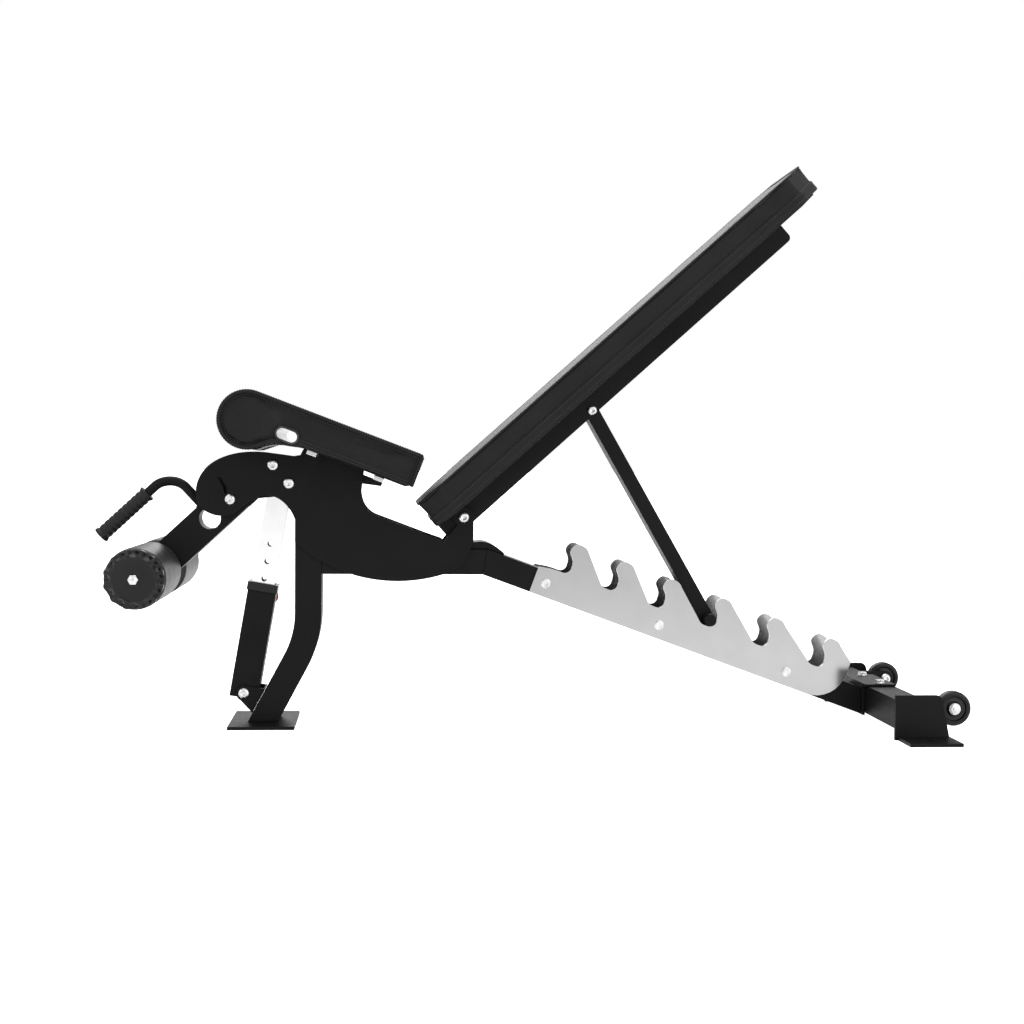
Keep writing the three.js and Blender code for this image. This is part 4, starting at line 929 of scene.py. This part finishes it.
@dataclass
class Handle:
    """The bent handle on the arm, its weld and its ribbed grip."""

    radius: float = 8.5 * MM
    wall: float = 2 * MM
    root: float = 30.3 * MM
    rail: float = 108 * MM
    reach: float = 46 * MM
    bend: float = 38 * MM
    end: float = 214 * MM
    grip_length: float = 112 * MM
    grip_radius: float = 12 * MM
    flange: float = 14.7 * MM
    ribs: int = 9

    def build(self) -> None:
        """Makes the tube, its weld and the grip."""
        self.tube()
        self.weld_bead()
        self.grip()

    def centre_line(self) -> np.ndarray:
        """Straight up from the arm, round one bend B(t) with four control points, and along the rail."""
        turn_start, rail = -(self.rail - self.bend), -self.rail
        t = np.linspace(0, 1, 28)[:, None]
        a, b, c, d = (np.array(p) for p in (
            (self.reach, turn_start), (self.reach, rail + 0.45 * self.bend),
            (self.reach + 0.55 * self.bend, rail), (self.reach + self.bend, rail)))
        curve = (1 - t) ** 3 * a + 3 * t * (1 - t) ** 2 * b + 3 * t ** 2 * (1 - t) * c + t ** 3 * d
        start = np.array([[self.reach, -self.root]])
        stop = np.array([[self.end - 3 * MM, rail]])
        return np.concatenate([start, curve, stop])

    def tube(self) -> None:
        """The handle tube: rings square to its centre line, out along the skin and back along the bore."""
        line = self.centre_line()
        flat = np.stack([line[:, 0], 0 * line[:, 0], line[:, 1]], axis=1)
        way = directions(flat)
        normal = np.cross(way, (0, 1, 0))
        across = np.tile((0.0, 1.0, 0.0), (len(flat), 1))
        skin = swept(flat, circle(self.radius, 32), normal, across)
        bore = swept(flat, circle(self.radius - self.wall, 32), normal, across)[::-1]
        grid = np.concatenate([skin, bore, skin[:1]])
        stand = Piece("handle_tube_bent", Body.ARM, Slot.FRAME_PAINT, FINISHES[Slot.FRAME_PAINT],
                      ["handle_tube"])
        stand.surface(ARM_PLANE.place(grid), close_columns=True).build()

    def weld_bead(self) -> None:
        """A weld round the handle's root: a ring whose radius ripples as r * (1 + 0.12 sin 22 turn)."""
        turn = np.linspace(0, FULL_TURN, 132, endpoint=False)[:, None]
        around = np.linspace(0, FULL_TURN, 12, endpoint=False)[None, :]
        bead = 2.4 * MM * (1 + 0.13 * np.sin(22 * turn))
        ring = self.radius + 0.8 * MM + bead * np.cos(around)
        grid = np.stack([self.reach + ring * np.cos(turn), ring * np.sin(turn),
                         -self.root - 0.2 * MM - np.maximum(bead * np.sin(around), -0.3 * MM)], axis=-1)
        Piece("handle_weld", Body.ARM, Slot.FRAME_PAINT, FINISHES[Slot.FRAME_PAINT]).surface(
            ARM_PLANE.place(grid), close_rows=True, close_columns=True).build()

    def grip(self) -> None:
        """The grip: ribs of radius + 1.1 mm * |sin(pi * ribs * place)| between two flanges."""
        start, stop = self.end - self.grip_length, self.end
        bore = self.radius + 0.3 * MM
        share = np.linspace(0, 1, 100)
        along = start + 9 * MM + share * (self.grip_length - 18 * MM)
        ribs = self.grip_radius + 1.2 * MM * np.abs(np.sin(np.pi * self.ribs * share)) ** 0.7
        body = np.stack([ribs, along], axis=1)
        lower = soften(np.array([(bore, start), (self.flange, start), (self.flange, start + 4 * MM),
                                 (self.grip_radius, start + 8.5 * MM)]), 1.5 * MM, 5)
        upper = soften(np.array([(self.grip_radius, stop - 8.5 * MM), (self.flange, stop - 4 * MM),
                                 (self.flange, stop), (bore, stop)]), 1.5 * MM, 5)
        rows = np.concatenate([lower, body[1:-1], upper])
        grid = turned(np.concatenate([rows, rows[:1]]), 64)[..., [1, 2, 0]]
        grid[..., 2] -= self.rail
        Piece("handle_grip_ribbed", Body.ARM, Slot.RUBBER, FINISHES[Slot.RUBBER], ["handle_grip"]).surface(
            ARM_PLANE.place(grid), close_columns=True).build()


# ---------------------------------------------------------------- upholstery


@dataclass
class Pad:
    """A stuffed pad in a tilted plane: its simulated body, and what is sewn on it.

    Attributes:
        node: The CAD node that gives its shape.
        name: The name of its body piece.
        body: The body it rides on.
        plane: The plane its sizes are given in.
        bottom: Height of its flat underside in that plane.
        width: Width across the bench.
        voxel: Size of the squares that its skin is made from.
        shrink: How far the skin starts inside the CAD solid.
        cap: How far stuffing may push the skin.
        seam: How far inside the CAD solid the finished skin ends.
    """

    node: str
    name: str
    body: Body
    plane: TiltedPlane
    bottom: float
    width: float = 280 * MM
    voxel: float = 5.5 * MM
    shrink: float = 2.0 * MM
    cap: float = 4.0 * MM
    seam: float = 0.6 * MM

    def skin(self) -> bpy.types.Object:
        """The CAD solid's skin in the pad's own plane, remade from even squares and drawn in a little."""
        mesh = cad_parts[self.node].data.copy()
        mesh.transform(self.plane.matrix().inverted())
        weld(mesh)
        obj = bpy.data.objects.new(self.name, mesh)
        bpy.context.scene.collection.objects.link(obj)
        remesh = obj.modifiers.new("squares", "REMESH")
        remesh.mode, remesh.voxel_size = "VOXEL", self.voxel
        self.bake(obj)
        count = len(obj.data.vertices)
        co, normal = np.empty(count * 3), np.empty(count * 3)
        obj.data.vertices.foreach_get("co", co)
        obj.data.vertex_normals.foreach_get("vector", normal)
        obj.data.vertices.foreach_set("co", co - self.shrink * normal)
        obj.data.update()
        return obj

    @staticmethod
    def bake(obj: bpy.types.Object) -> None:
        """Replaces a piece's mesh by what its modifiers make of it."""
        graph = bpy.context.evaluated_depsgraph_get()
        graph.update()
        done = bpy.data.meshes.new_from_object(obj.evaluated_get(graph))
        obj.modifiers.clear()
        obj.data = done

    def stuff(self, obj: bpy.types.Object) -> None:
        """Blows the skin up as cloth for twenty frames, and holds each point within the cap."""
        before = np.empty(len(obj.data.vertices) * 3)
        obj.data.vertices.foreach_get("co", before)
        cloth = obj.modifiers.new("stuffing", "CLOTH")
        cloth.settings.quality = 5
        cloth.settings.tension_stiffness = cloth.settings.compression_stiffness = 25
        cloth.settings.shear_stiffness = 15
        cloth.settings.use_pressure = True
        cloth.settings.uniform_pressure_force = 4
        cloth.settings.effector_weights.gravity = 0
        cloth.collision_settings.use_collision = False
        for step in range(1, 21):
            bpy.context.scene.frame_set(step)
        self.bake(obj)
        after = np.empty_like(before)
        obj.data.vertices.foreach_get("co", after)
        moved = (after - before).reshape(-1, 3)
        length = np.linalg.norm(moved, axis=1, keepdims=True)
        held = before.reshape(-1, 3) + moved * np.minimum(1, self.cap / np.maximum(length, 1e-9))
        obj.data.vertices.foreach_set("co", held.ravel())
        obj.data.update()
        bpy.context.scene.frame_set(1)

    def fill(self, points: np.ndarray) -> np.ndarray:
        """Stretches the stuffed skin back to the CAD solid's box, less a seam's width each side."""
        corners = np.array([vertex.co[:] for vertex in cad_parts[self.node].data.vertices])
        turn = np.array(self.plane.matrix().inverted())
        own = corners @ turn[:3, :3].T + turn[:3, 3]
        low, high = own.min(axis=0) + self.seam, own.max(axis=0) - self.seam
        start, stop = points.min(axis=0), points.max(axis=0)
        return low + (points - start) * (high - low) / (stop - start)

    def flatten(self, points: np.ndarray) -> np.ndarray:
        """Holds the whole underside flat, where it rests on its board."""
        points[:, 2] = np.maximum(points[:, 2], self.bottom)
        return points

    def tailor(self, points: np.ndarray) -> np.ndarray:
        """Moves the stuffed skin's points to where seams hold them; each kind of pad adds its own."""
        return self.flatten(points)

    def finish_body(self) -> bpy.types.Object:
        """Makes the pad's body from its skin, stuffing, one subdivision and tailoring."""
        obj = self.skin()
        self.stuff(obj)
        finer = obj.modifiers.new("finer", "SUBSURF")
        finer.levels = finer.render_levels = 1
        self.bake(obj)
        flat = np.empty(len(obj.data.vertices) * 3)
        obj.data.vertices.foreach_get("co", flat)
        points = self.tailor(self.fill(flat.reshape(-1, 3)))
        obj.data.vertices.foreach_set("co", self.plane.place(points).ravel())
        obj.data.update()
        settle(obj, self.body, FINISHES[Slot.UPHOLSTERY], [self.node], 75)
        return obj

    def sew(self, name: str, rows: Sequence[tuple[np.ndarray, np.ndarray]], pitch: float = 4.6 * MM) -> None:
        """Rows of stitches along lines in the pad's plane.

        Args:
            name: The piece's name.
            rows: Pairs of a line, of shape (n, 3), and the outward direction along it.
            pitch: Distance from one stitch to the next.
        """
        piece = Piece(name, self.body, Slot.UPHOLSTERY, THREAD)
        for line, outward in rows:
            spaced = even(np.concatenate([line, np.broadcast_to(outward, line.shape)], axis=1), pitch)
            centres, out = spaced[:, :3], spaced[:, 3:]
            out = out / np.maximum(np.linalg.norm(out, axis=1, keepdims=True), 1e-9)
            points, quads = stitches(centres, directions(centres), out)
            piece.quads.append(quads + sum(len(p) for p in piece.points))
            piece.points.append(self.plane.place(points))
        piece.build()


def line_distance(points: np.ndarray, line: np.ndarray) -> np.ndarray:
    """Distance from each point to a closed line of straight runs, in two dimensions.

    For a run from a to b the nearest place is a + clip((p - a) . (b - a) / |b - a|^2, 0, 1) (b - a).
    """
    start, way = line, np.roll(line, -1, axis=0) - line
    length = np.maximum((way ** 2).sum(axis=1), 1e-18)
    gap = points[:, None] - start[None]
    share = np.clip((gap * way[None]).sum(axis=2) / length, 0, 1)
    return np.sqrt(((gap - share[..., None] * way[None]) ** 2).sum(axis=2).min(axis=1))


def arc(x: float, z: float, radius: float, start: float, stop: float, count: int = 24) -> np.ndarray:
    """Points round part of a circle, from one angle to another in degrees."""
    turn = np.radians(np.linspace(start, stop, count))
    return np.stack([x + radius * np.cos(turn), z + radius * np.sin(turn)], axis=1)


@dataclass
class SeatPad(Pad):
    """The rolled seat: welts round both side profiles, a set-in side panel and sewn lower edges."""

    roll: float = 51 * MM
    top: float = 51 * MM
    length: float = 303 * MM
    slot_s: float = 72 * MM
    slot_h: float = -1 * MM
    slot_half: float = 18 * MM
    slot_rise: float = 9.5 * MM

    def profile(self, inset: float = 0.0) -> np.ndarray:
        """The side profile's welted part, drawn in by inset.

        It runs from the underside by the hand slot, round the roll, along the top and down the rear end.
        """
        corner = 6 * MM
        under = arc(0, 0, self.roll - inset, 300, 90, 60)
        lead = np.array([(self.slot_s - 4 * MM, self.slot_h - self.slot_rise - 5.5 * MM + 0.4 * inset),
                         (self.slot_s - 20 * MM, self.slot_h - 20 * MM + inset)])
        top = np.array([(6 * MM, self.top - inset)])
        drawn = inset * 0.5
        rear = arc(self.length - corner, self.top - corner, corner - drawn, 90, 0, 8) - (drawn, drawn)
        end = np.array([(self.length - inset, self.bottom + 3 * MM)])
        return np.concatenate([lead, under, top, rear, end])

    def flatten(self, points: np.ndarray) -> np.ndarray:
        """Holds the underside flat behind the hand slot, where it rests on the frame."""
        resting = points[:, 0] > self.slot_s + 30 * MM
        points[resting, 2] = np.maximum(points[resting, 2], self.bottom)
        return points

    def tailor(self, points: np.ndarray) -> np.ndarray:
        """Sets the side panels in and puckers the edge beside them.

        Where the distance d to the side profile passes 7 mm the panel sits 1.6 mm in, by a smooth step
        over 3 mm; beside the seam the skin draws in by 0.25 mm * sin of the distance along it.
        """
        points = self.clear_slot(super().tailor(points))
        line = even(self.profile(), 3 * MM)
        near = line_distance(points[:, [0, 2]], line[:-1])
        side = np.clip((np.abs(points[:, 1]) - (self.width / 2 - 9 * MM)) / (5 * MM), 0, 1)
        step = np.clip((near - 6.0 * MM) / (3.2 * MM), 0, 1)
        points[:, 1] -= np.sign(points[:, 1]) * side * 1.7 * MM * step * step * (3 - 2 * step)
        pucker = np.sin(points[:, 0] * FULL_TURN / (21 * MM)) * np.sin(points[:, 1] * FULL_TURN / (34 * MM))
        edge = np.clip((np.abs(points[:, 1]) - 0.11) / 0.02, 0, 1) * (1 - side)
        above = points[:, 2] > 0.5 * self.top
        points[above, 2] -= (0.22 * MM * (1 + pucker) * edge)[above]
        return points

    def clear_slot(self, points: np.ndarray) -> np.ndarray:
        """Moves skin that has crept into the hand slot out to its liner's wall."""
        reach, wall = self.slot_half - self.slot_rise, self.slot_rise + 1.0 * MM
        middle = np.stack([self.slot_s + np.clip(points[:, 0] - self.slot_s, -reach, reach),
                           np.full(len(points), self.slot_h)], axis=1)
        away = points[:, [0, 2]] - middle
        length = np.linalg.norm(away, axis=1, keepdims=True)
        out = middle + away * np.maximum(1, wall / np.maximum(length, 0.1 * MM))
        points[:, 0], points[:, 2] = out[:, 0], out[:, 1]
        return points

    def build(self) -> None:
        """Makes the pad, its welts and its stitches."""
        self.finish_body()
        self.slot_liner()
        for side, sign in (("left", -1), ("right", 1)):
            self.welt(side, sign)
        self.seams()

    def slot_liner(self) -> None:
        """A smooth moulded tube that lines the hand slot, with a lip proud of each side.

        Its outline is two half circles joined by straight runs; the lip swells outwards at both ends.
        """
        reach = self.slot_half - self.slot_rise
        half = self.width / 2 - 0.6 * MM
        ends = [arc(reach, 0, 1, -90, 90, 20) - (reach, 0), arc(-reach, 0, 1, 90, 270, 20) + (reach, 0)]
        centres = np.repeat([[reach, 0.0], [-reach, 0.0]], 20, axis=0)
        way = np.concatenate(ends)
        inner, wall, lip = self.slot_rise - 0.2 * MM, 1.6 * MM, 3.4 * MM
        rows = soften(np.array([
            (inner, -half), (inner + lip, -half), (inner + lip, -half + 2 * MM), (inner + wall, -half + 3 * MM),
            (inner + wall, half - 3 * MM), (inner + lip, half - 2 * MM), (inner + lip, half), (inner, half),
        ]), 0.8 * MM, 4)
        rows = np.concatenate([rows, rows[:1]])
        flat = centres[None] + rows[:, :1, None] * way[None]
        grid = np.stack([self.slot_s + flat[..., 0], np.broadcast_to(rows[:, 1:2], flat.shape[:2]),
                         self.slot_h + flat[..., 1]], axis=-1)
        Piece("seat_slot_liner", self.body, Slot.PLASTIC, LINER).surface(
            self.plane.place(grid), close_columns=True).build()

    def welt(self, side: str, sign: int) -> None:
        """A sewn welt carried along the side profile.

        Its section's radius is r * (1 + 0.09 sin(2 pi * length / pitch)), which gives the stitched ridge.
        """
        line = even(self.profile(3.4 * MM), 0.9 * MM)
        way = directions(line)
        normal = np.stack([-way[:, 1], way[:, 0]], axis=1)
        path = np.stack([line[:, 0], np.full(len(line), sign * (self.width / 2 - 1.2 * MM)), line[:, 1]], axis=1)
        out = np.stack([normal[:, 0], 0 * normal[:, 0], normal[:, 1]], axis=1)
        across = np.tile((0.0, float(sign), 0.0), (len(path), 1))
        along = np.arange(len(line)) * 0.9 * MM
        swell = 1 + 0.10 * np.sin(FULL_TURN * along / (4.4 * MM))
        swell[0] = swell[-1] = 0
        section = circle(3.7 * MM, 14)[None] * swell[:, None, None]
        grid = swept(path, section, out, across)
        Piece(f"seat_welt_{side}", self.body, Slot.UPHOLSTERY, FINISHES[Slot.UPHOLSTERY]).surface(
            self.plane.place(grid), close_columns=True).build(60)

    def seams(self) -> None:
        """Two rows of stitches above each lower edge and one inside each welt."""
        rows = []
        for sign in (-1, 1):
            out = np.array([0.0, float(sign), 0.0])
            face = sign * (self.width / 2 - 0.9 * MM)
            for rise in (5 * MM, 10 * MM):
                edge = np.array([(self.slot_s + 26 * MM, face, self.bottom + rise),
                                 (self.length - 9 * MM, face, self.bottom + rise)])
                rows.append((even(edge, 20 * MM), out))
            inner = self.profile(8.6 * MM)[2:]
            rows.append((np.stack([inner[:, 0], np.full(len(inner), face), inner[:, 1]], axis=1), out))
        back = np.array([1.0, 0.0, 0.0])
        for rise in (5 * MM, 10 * MM):
            edge = np.array([(self.length - 0.2 * MM, -self.width / 2 + 9 * MM, self.bottom + rise),
                             (self.length - 0.2 * MM, self.width / 2 - 9 * MM, self.bottom + rise)])
            rows.append((edge, back))
        self.sew("seat_stitches", rows)


@dataclass
class BackPad(Pad):
    """The back pad: cut corners, a creased top edge with a welt, and a hem sewn round its lower edge."""

    tail: float = 46 * MM
    length: float = 896 * MM
    thickness: float = 54 * MM
    corner: float = 46 * MM
    hem: float = 19 * MM
    round_corner: float = 9 * MM

    def plan(self, inset: float = 0.0) -> np.ndarray:
        """The pad's outline seen from above: a rectangle with cut corners, rounded where it bends.

        Drawing a cut corner in by inset moves its ends by inset * tan 22.5 degrees along the sides.
        """
        start, stop, half = -self.tail + inset, self.length - self.tail - inset, self.width / 2 - inset
        cut = self.corner - inset * (2 - np.sqrt(2))
        corners = np.array([
            (start, 0), (start, -half + cut), (start + cut, -half), (stop - cut, -half), (stop, -half + cut),
            (stop, half - cut), (stop - cut, half), (start + cut, half), (start, half - cut), (start, 0),
        ])
        return even(soften(corners, self.round_corner, 8)[:-1], 4 * MM, closed=True)

    def around(self, inset: float, height: float) -> tuple[np.ndarray, np.ndarray]:
        """The plan as points at a height, with the outward direction at each."""
        plan = self.plan(inset)
        way = directions(plan, closed=True)
        points = np.stack([plan[:, 0], plan[:, 1], np.full(len(plan), height)], axis=1)
        outward = np.stack([way[:, 1], -way[:, 0], 0 * way[:, 0]], axis=1)
        if np.sum(outward[:, 1] * plan[:, 1]) < 0:
            outward = -outward
        return points, outward

    def press_out(self, points: np.ndarray) -> np.ndarray:
        """Presses all eight walls out to the plan, so that the skin meets its seams.

        With d a point's depth inside a wall and m the least depth at its height, d becomes
        seam + (d - m) * (reach - seam) / (reach - m) wherever d is below reach.
        """
        reach, band = 14 * MM, 2.5 * MM
        middle = self.length / 2 - self.tail
        slant = np.sqrt(0.5)
        diagonal = slant * ((self.length + self.width) / 2 - self.corner)
        walls = [((x, 0), self.length / 2) for x in (-1, 1)] + [((0, y), self.width / 2) for y in (-1, 1)]
        walls += [((x * slant, y * slant), diagonal) for x in (-1, 1) for y in (-1, 1)]
        level = np.clip(((points[:, 2] - self.bottom) / band).astype(int), 0, None)
        for normal, limit in walls:
            depth = limit - (points[:, :2] - (middle, 0)) @ np.array(normal)
            least = np.full(level.max() + 1, reach)
            np.minimum.at(least, level, depth)
            height = (np.arange(len(least)) + 0.5) * band
            first = np.clip(np.interp(points[:, 2] - self.bottom, height, least), 0, 0.6 * reach)
            pressed = self.seam + (depth - first) * (reach - self.seam) / (reach - first)
            move = np.where(depth < reach, depth - np.maximum(pressed, self.seam), 0)
            points[:, :2] += move[:, None] * np.array(normal)
        return points

    def tailor(self, points: np.ndarray) -> np.ndarray:
        """Hollows the two end faces by up to 2.5 mm and softly waves the top."""
        points = self.press_out(super().tailor(points))
        height = (points[:, 2] - self.bottom) / self.thickness
        middle = np.clip(1 - (2 * height - 1) ** 2, 0, 1) * (1 - (points[:, 1] / (self.width / 2)) ** 2)
        start, stop = -self.tail, self.length - self.tail
        near_start = np.clip(1 - (points[:, 0] - start) / (22 * MM), 0, 1)
        near_stop = np.clip(1 - (stop - points[:, 0]) / (22 * MM), 0, 1)
        points[:, 0] += 2.5 * MM * middle * (near_start - near_stop)
        wave = np.sin(points[:, 0] * 31 + 1.2) * np.cos(points[:, 1] * 43) + 0.6 * np.sin(points[:, 0] * 57)
        points[:, 2] += 0.35 * MM * wave * np.clip(height - 0.6, 0, 1) / 0.4
        return points

    def build(self) -> None:
        """Makes the pad, its hem, its welt and its stitches."""
        self.finish_body()
        self.ring("back_hem", 0.6 * MM, self.bottom + self.hem / 2, self.hem_section())
        welt = self.bottom + self.thickness - 3.2 * MM
        self.ring("back_welt", 1.6 * MM, welt, circle(2.1 * MM, 12))
        rows = []
        for rise in (4.5 * MM, self.hem - 4 * MM):
            rows.append(self.around(-0.7 * MM, self.bottom + rise))
        self.sew("back_stitches", rows)

    def hem_section(self) -> np.ndarray:
        """The hem's section, a superellipse |u / a|^6 + |v / b|^6 = 1, thin outwards and tall."""
        turn = np.linspace(0, FULL_TURN, 28, endpoint=False)
        power = 1 / 3
        return np.stack([2.6 * MM * np.sign(np.cos(turn)) * np.abs(np.cos(turn)) ** power - 1.4 * MM,
                         self.hem / 2 * np.sign(np.sin(turn)) * np.abs(np.sin(turn)) ** power], axis=1)

    def ring(self, name: str, inset: float, height: float, section: np.ndarray) -> None:
        """A section carried once round the pad.

        Args:
            name: The piece's name.
            inset: How far inside the plan its path lies.
            height: The path's height.
            section: Points as pairs of outward and upward.
        """
        path, outward = self.around(inset, height)
        upward = np.tile((0.0, 0.0, 1.0), (len(path), 1))
        Piece(name, self.body, Slot.UPHOLSTERY, FINISHES[Slot.UPHOLSTERY]).surface(
            self.plane.place(swept(path, section[None], outward, upward)), close_rows=True, close_columns=True
        ).build(60)


# ---------------------------------------------------------------- studio


@dataclass
class Studio:
    """The floor, lights and camera."""

    lens: float = 56.09
    sensor: float = 36.0
    yaw: float = 4.52
    pitch: float = 1.86
    roll: float = 0.5
    eye: tuple[float, float, float] = (0.2144, -2.8671, 0.4719)

    def build(self) -> None:
        """Makes the studio."""
        scene = bpy.context.scene
        scene.view_settings.view_transform = "Standard"
        self.floor()
        self.surroundings()
        self.lights()
        self.camera()

    def camera(self) -> None:
        """The camera: forward from yaw and pitch, then rolled about that line."""
        yaw, pitch, roll = (np.radians(a) for a in (self.yaw, self.pitch, self.roll))
        forward = np.array([np.sin(yaw) * np.cos(pitch), np.cos(yaw) * np.cos(pitch), -np.sin(pitch)])
        right = np.cross(forward, (0, 0, 1))
        right /= np.linalg.norm(right)
        up = np.cross(right, forward)
        right, up = right * np.cos(roll) + up * np.sin(roll), up * np.cos(roll) - right * np.sin(roll)
        data = bpy.data.cameras.new("camera")
        data.lens, data.sensor_width, data.clip_start, data.clip_end = self.lens, self.sensor, 0.05, 200
        camera = bpy.data.objects.new("camera", data)
        bpy.context.scene.collection.objects.link(camera)
        camera.matrix_world = Matrix([[*map(float, row), place] for row, place in
                                      zip(np.stack([right, up, -forward], axis=1), self.eye)] + [[0, 0, 0, 1]])
        bpy.context.scene.camera = camera

    def floor(self) -> None:
        """A plain pale floor with a faint mottle."""
        reach = 60.0
        mesh = bpy.data.meshes.new("floor")
        mesh.from_pydata([(-reach, -reach, 0), (reach, -reach, 0), (reach, reach, 0), (-reach, reach, 0)], [],
                         [(0, 1, 2, 3)])
        sheet = Sheet("pale_floor")
        sheet.plug("Base Color", sheet.blend(sheet.noise(3, 3), grey(0.90), grey(0.93)))
        sheet.plug("Roughness", 0.85)
        sheet.plug("Specular IOR Level", 0.1)
        sheet.plug("Emission Color", (1, 1, 1, 1))
        seen = sheet.node("LightPath").outputs["Is Camera Ray"]
        sheet.plug("Emission Strength", sheet.span(seen, 0.0, 1.0, 0.14, 1.0))
        mesh.materials.append(sheet.material)
        floor = bpy.data.objects.new("floor", mesh)
        bpy.context.scene.collection.objects.link(floor)

    def surroundings(self) -> None:
        """White surroundings, dimmer where the front of the bench looks, and bright to its right.

        Brightness for light and reflections is mix(1, mix(low, high, right), front), with front and
        right as smooth steps of the direction's -y and x; the camera itself sees plain white.
        """
        world = bpy.data.worlds.new("surroundings")
        bpy.context.scene.world = world
        world.use_nodes = True
        tree = world.node_tree
        background = tree.nodes["Background"]
        split = tree.nodes.new("ShaderNodeSeparateXYZ")
        tree.links.new(tree.nodes.new("ShaderNodeTexCoord").outputs["Generated"], split.inputs[0])

        def ramp(source: bpy.types.NodeSocket, low: float, high: float, start: float,
                 stop: float) -> bpy.types.NodeSocket:
            """A smooth step from start to stop as source goes from low to high."""
            made = tree.nodes.new("ShaderNodeMapRange")
            made.interpolation_type = "SMOOTHSTEP"
            tree.links.new(source, made.inputs[0])
            for number, value in enumerate((low, high, start, stop), start=1):
                made.inputs[number].default_value = value
            return made.outputs[0]

        def mix(share: bpy.types.NodeSocket, first: object, second: object) -> bpy.types.NodeSocket:
            """A value between two, by share."""
            made = tree.nodes.new("ShaderNodeMix")
            tree.links.new(share, made.inputs[0])
            for socket, value in ((made.inputs[2], first), (made.inputs[3], second)):
                if isinstance(value, bpy.types.NodeSocket):
                    tree.links.new(value, socket)
                else:
                    socket.default_value = value
            return made.outputs[0]

        front = ramp(split.outputs[1], -0.75, -0.2, 1.0, 0.0)
        high_up = ramp(split.outputs[2], 0.25, 0.7, 0.0, 1.0)
        right = ramp(split.outputs[0], 0.10, 0.27, 0.0, 2.4)
        left = ramp(split.outputs[0], -0.10, 0.0, 1.1, 0.38)
        both = tree.nodes.new("ShaderNodeMath")
        tree.links.new(left, both.inputs[0])
        tree.links.new(right, both.inputs[1])
        shade = mix(front, 1.0, mix(high_up, both.outputs[0], 1.1))
        seen = tree.nodes.new("ShaderNodeLightPath").outputs["Is Camera Ray"]
        tree.links.new(mix(seen, shade, 1.0), background.inputs["Strength"])
        background.inputs["Color"].default_value = (1, 1, 1, 1)

    def lights(self) -> None:
        """Three soft panels: overhead, front left and behind."""
        self.panel("overhead", (0.35, 0.1, 3.0), (0.35, 0, 0), 3.2, 60)
        self.panel("front_left", (-2.4, -2.2, 1.8), (0.2, 0, 0.4), 1.6, 14)
        self.panel("behind", (0.6, 2.8, 1.9), (0.4, 0, 0.4), 2.2, 26)

    @staticmethod
    def panel(name: str, place: Sequence[float], target: Sequence[float], size: float, power: float) -> None:
        """A square area light at a place, pointing at a target."""
        data = bpy.data.lights.new(name, "AREA")
        data.energy, data.size = power, size
        light = bpy.data.objects.new(name, data)
        bpy.context.scene.collection.objects.link(light)
        back = np.array(place, float) - np.array(target, float)
        back /= np.linalg.norm(back)
        side = np.cross((0, 1, 0) if abs(back[2]) > 0.99 else (0, 0, 1), back)
        side /= np.linalg.norm(side)
        away = np.stack([side, np.cross(back, side), back], axis=1)
        rows = [[*map(float, row), float(p)] for row, p in zip(away, place)]
        light.matrix_world = Matrix(rows + [[0, 0, 0, 1]])


# ---------------------------------------------------------------- the bench


def main() -> None:
    """Builds the bench's looks in order."""
    Studio().build()
    for group in EDGE_BREAKS:
        group.build()
    for bolt in BOLTS:
        bolt.build()
    SmallHardware().build()
    for side, body in (("left", Body.WHEEL_LEFT), ("right", Body.WHEEL_RIGHT)):
        Wheel(side, body).build()
    for side, body in (("left", Body.ROLLER_LEFT), ("right", Body.ROLLER_RIGHT)):
        Roller(side, body).build()
    Handle().build()
    SeatPad("seat_cushion", "seat_pad", Body.FRAME, SEAT_PLANE, bottom=-11 * MM, voxel=4.5 * MM).build()
    BackPad("back_cushion", "back_pad", Body.BACK, BACK_PLANE, bottom=21.6 * MM, voxel=6 * MM).build()


if __name__ == "__main__":
    main()
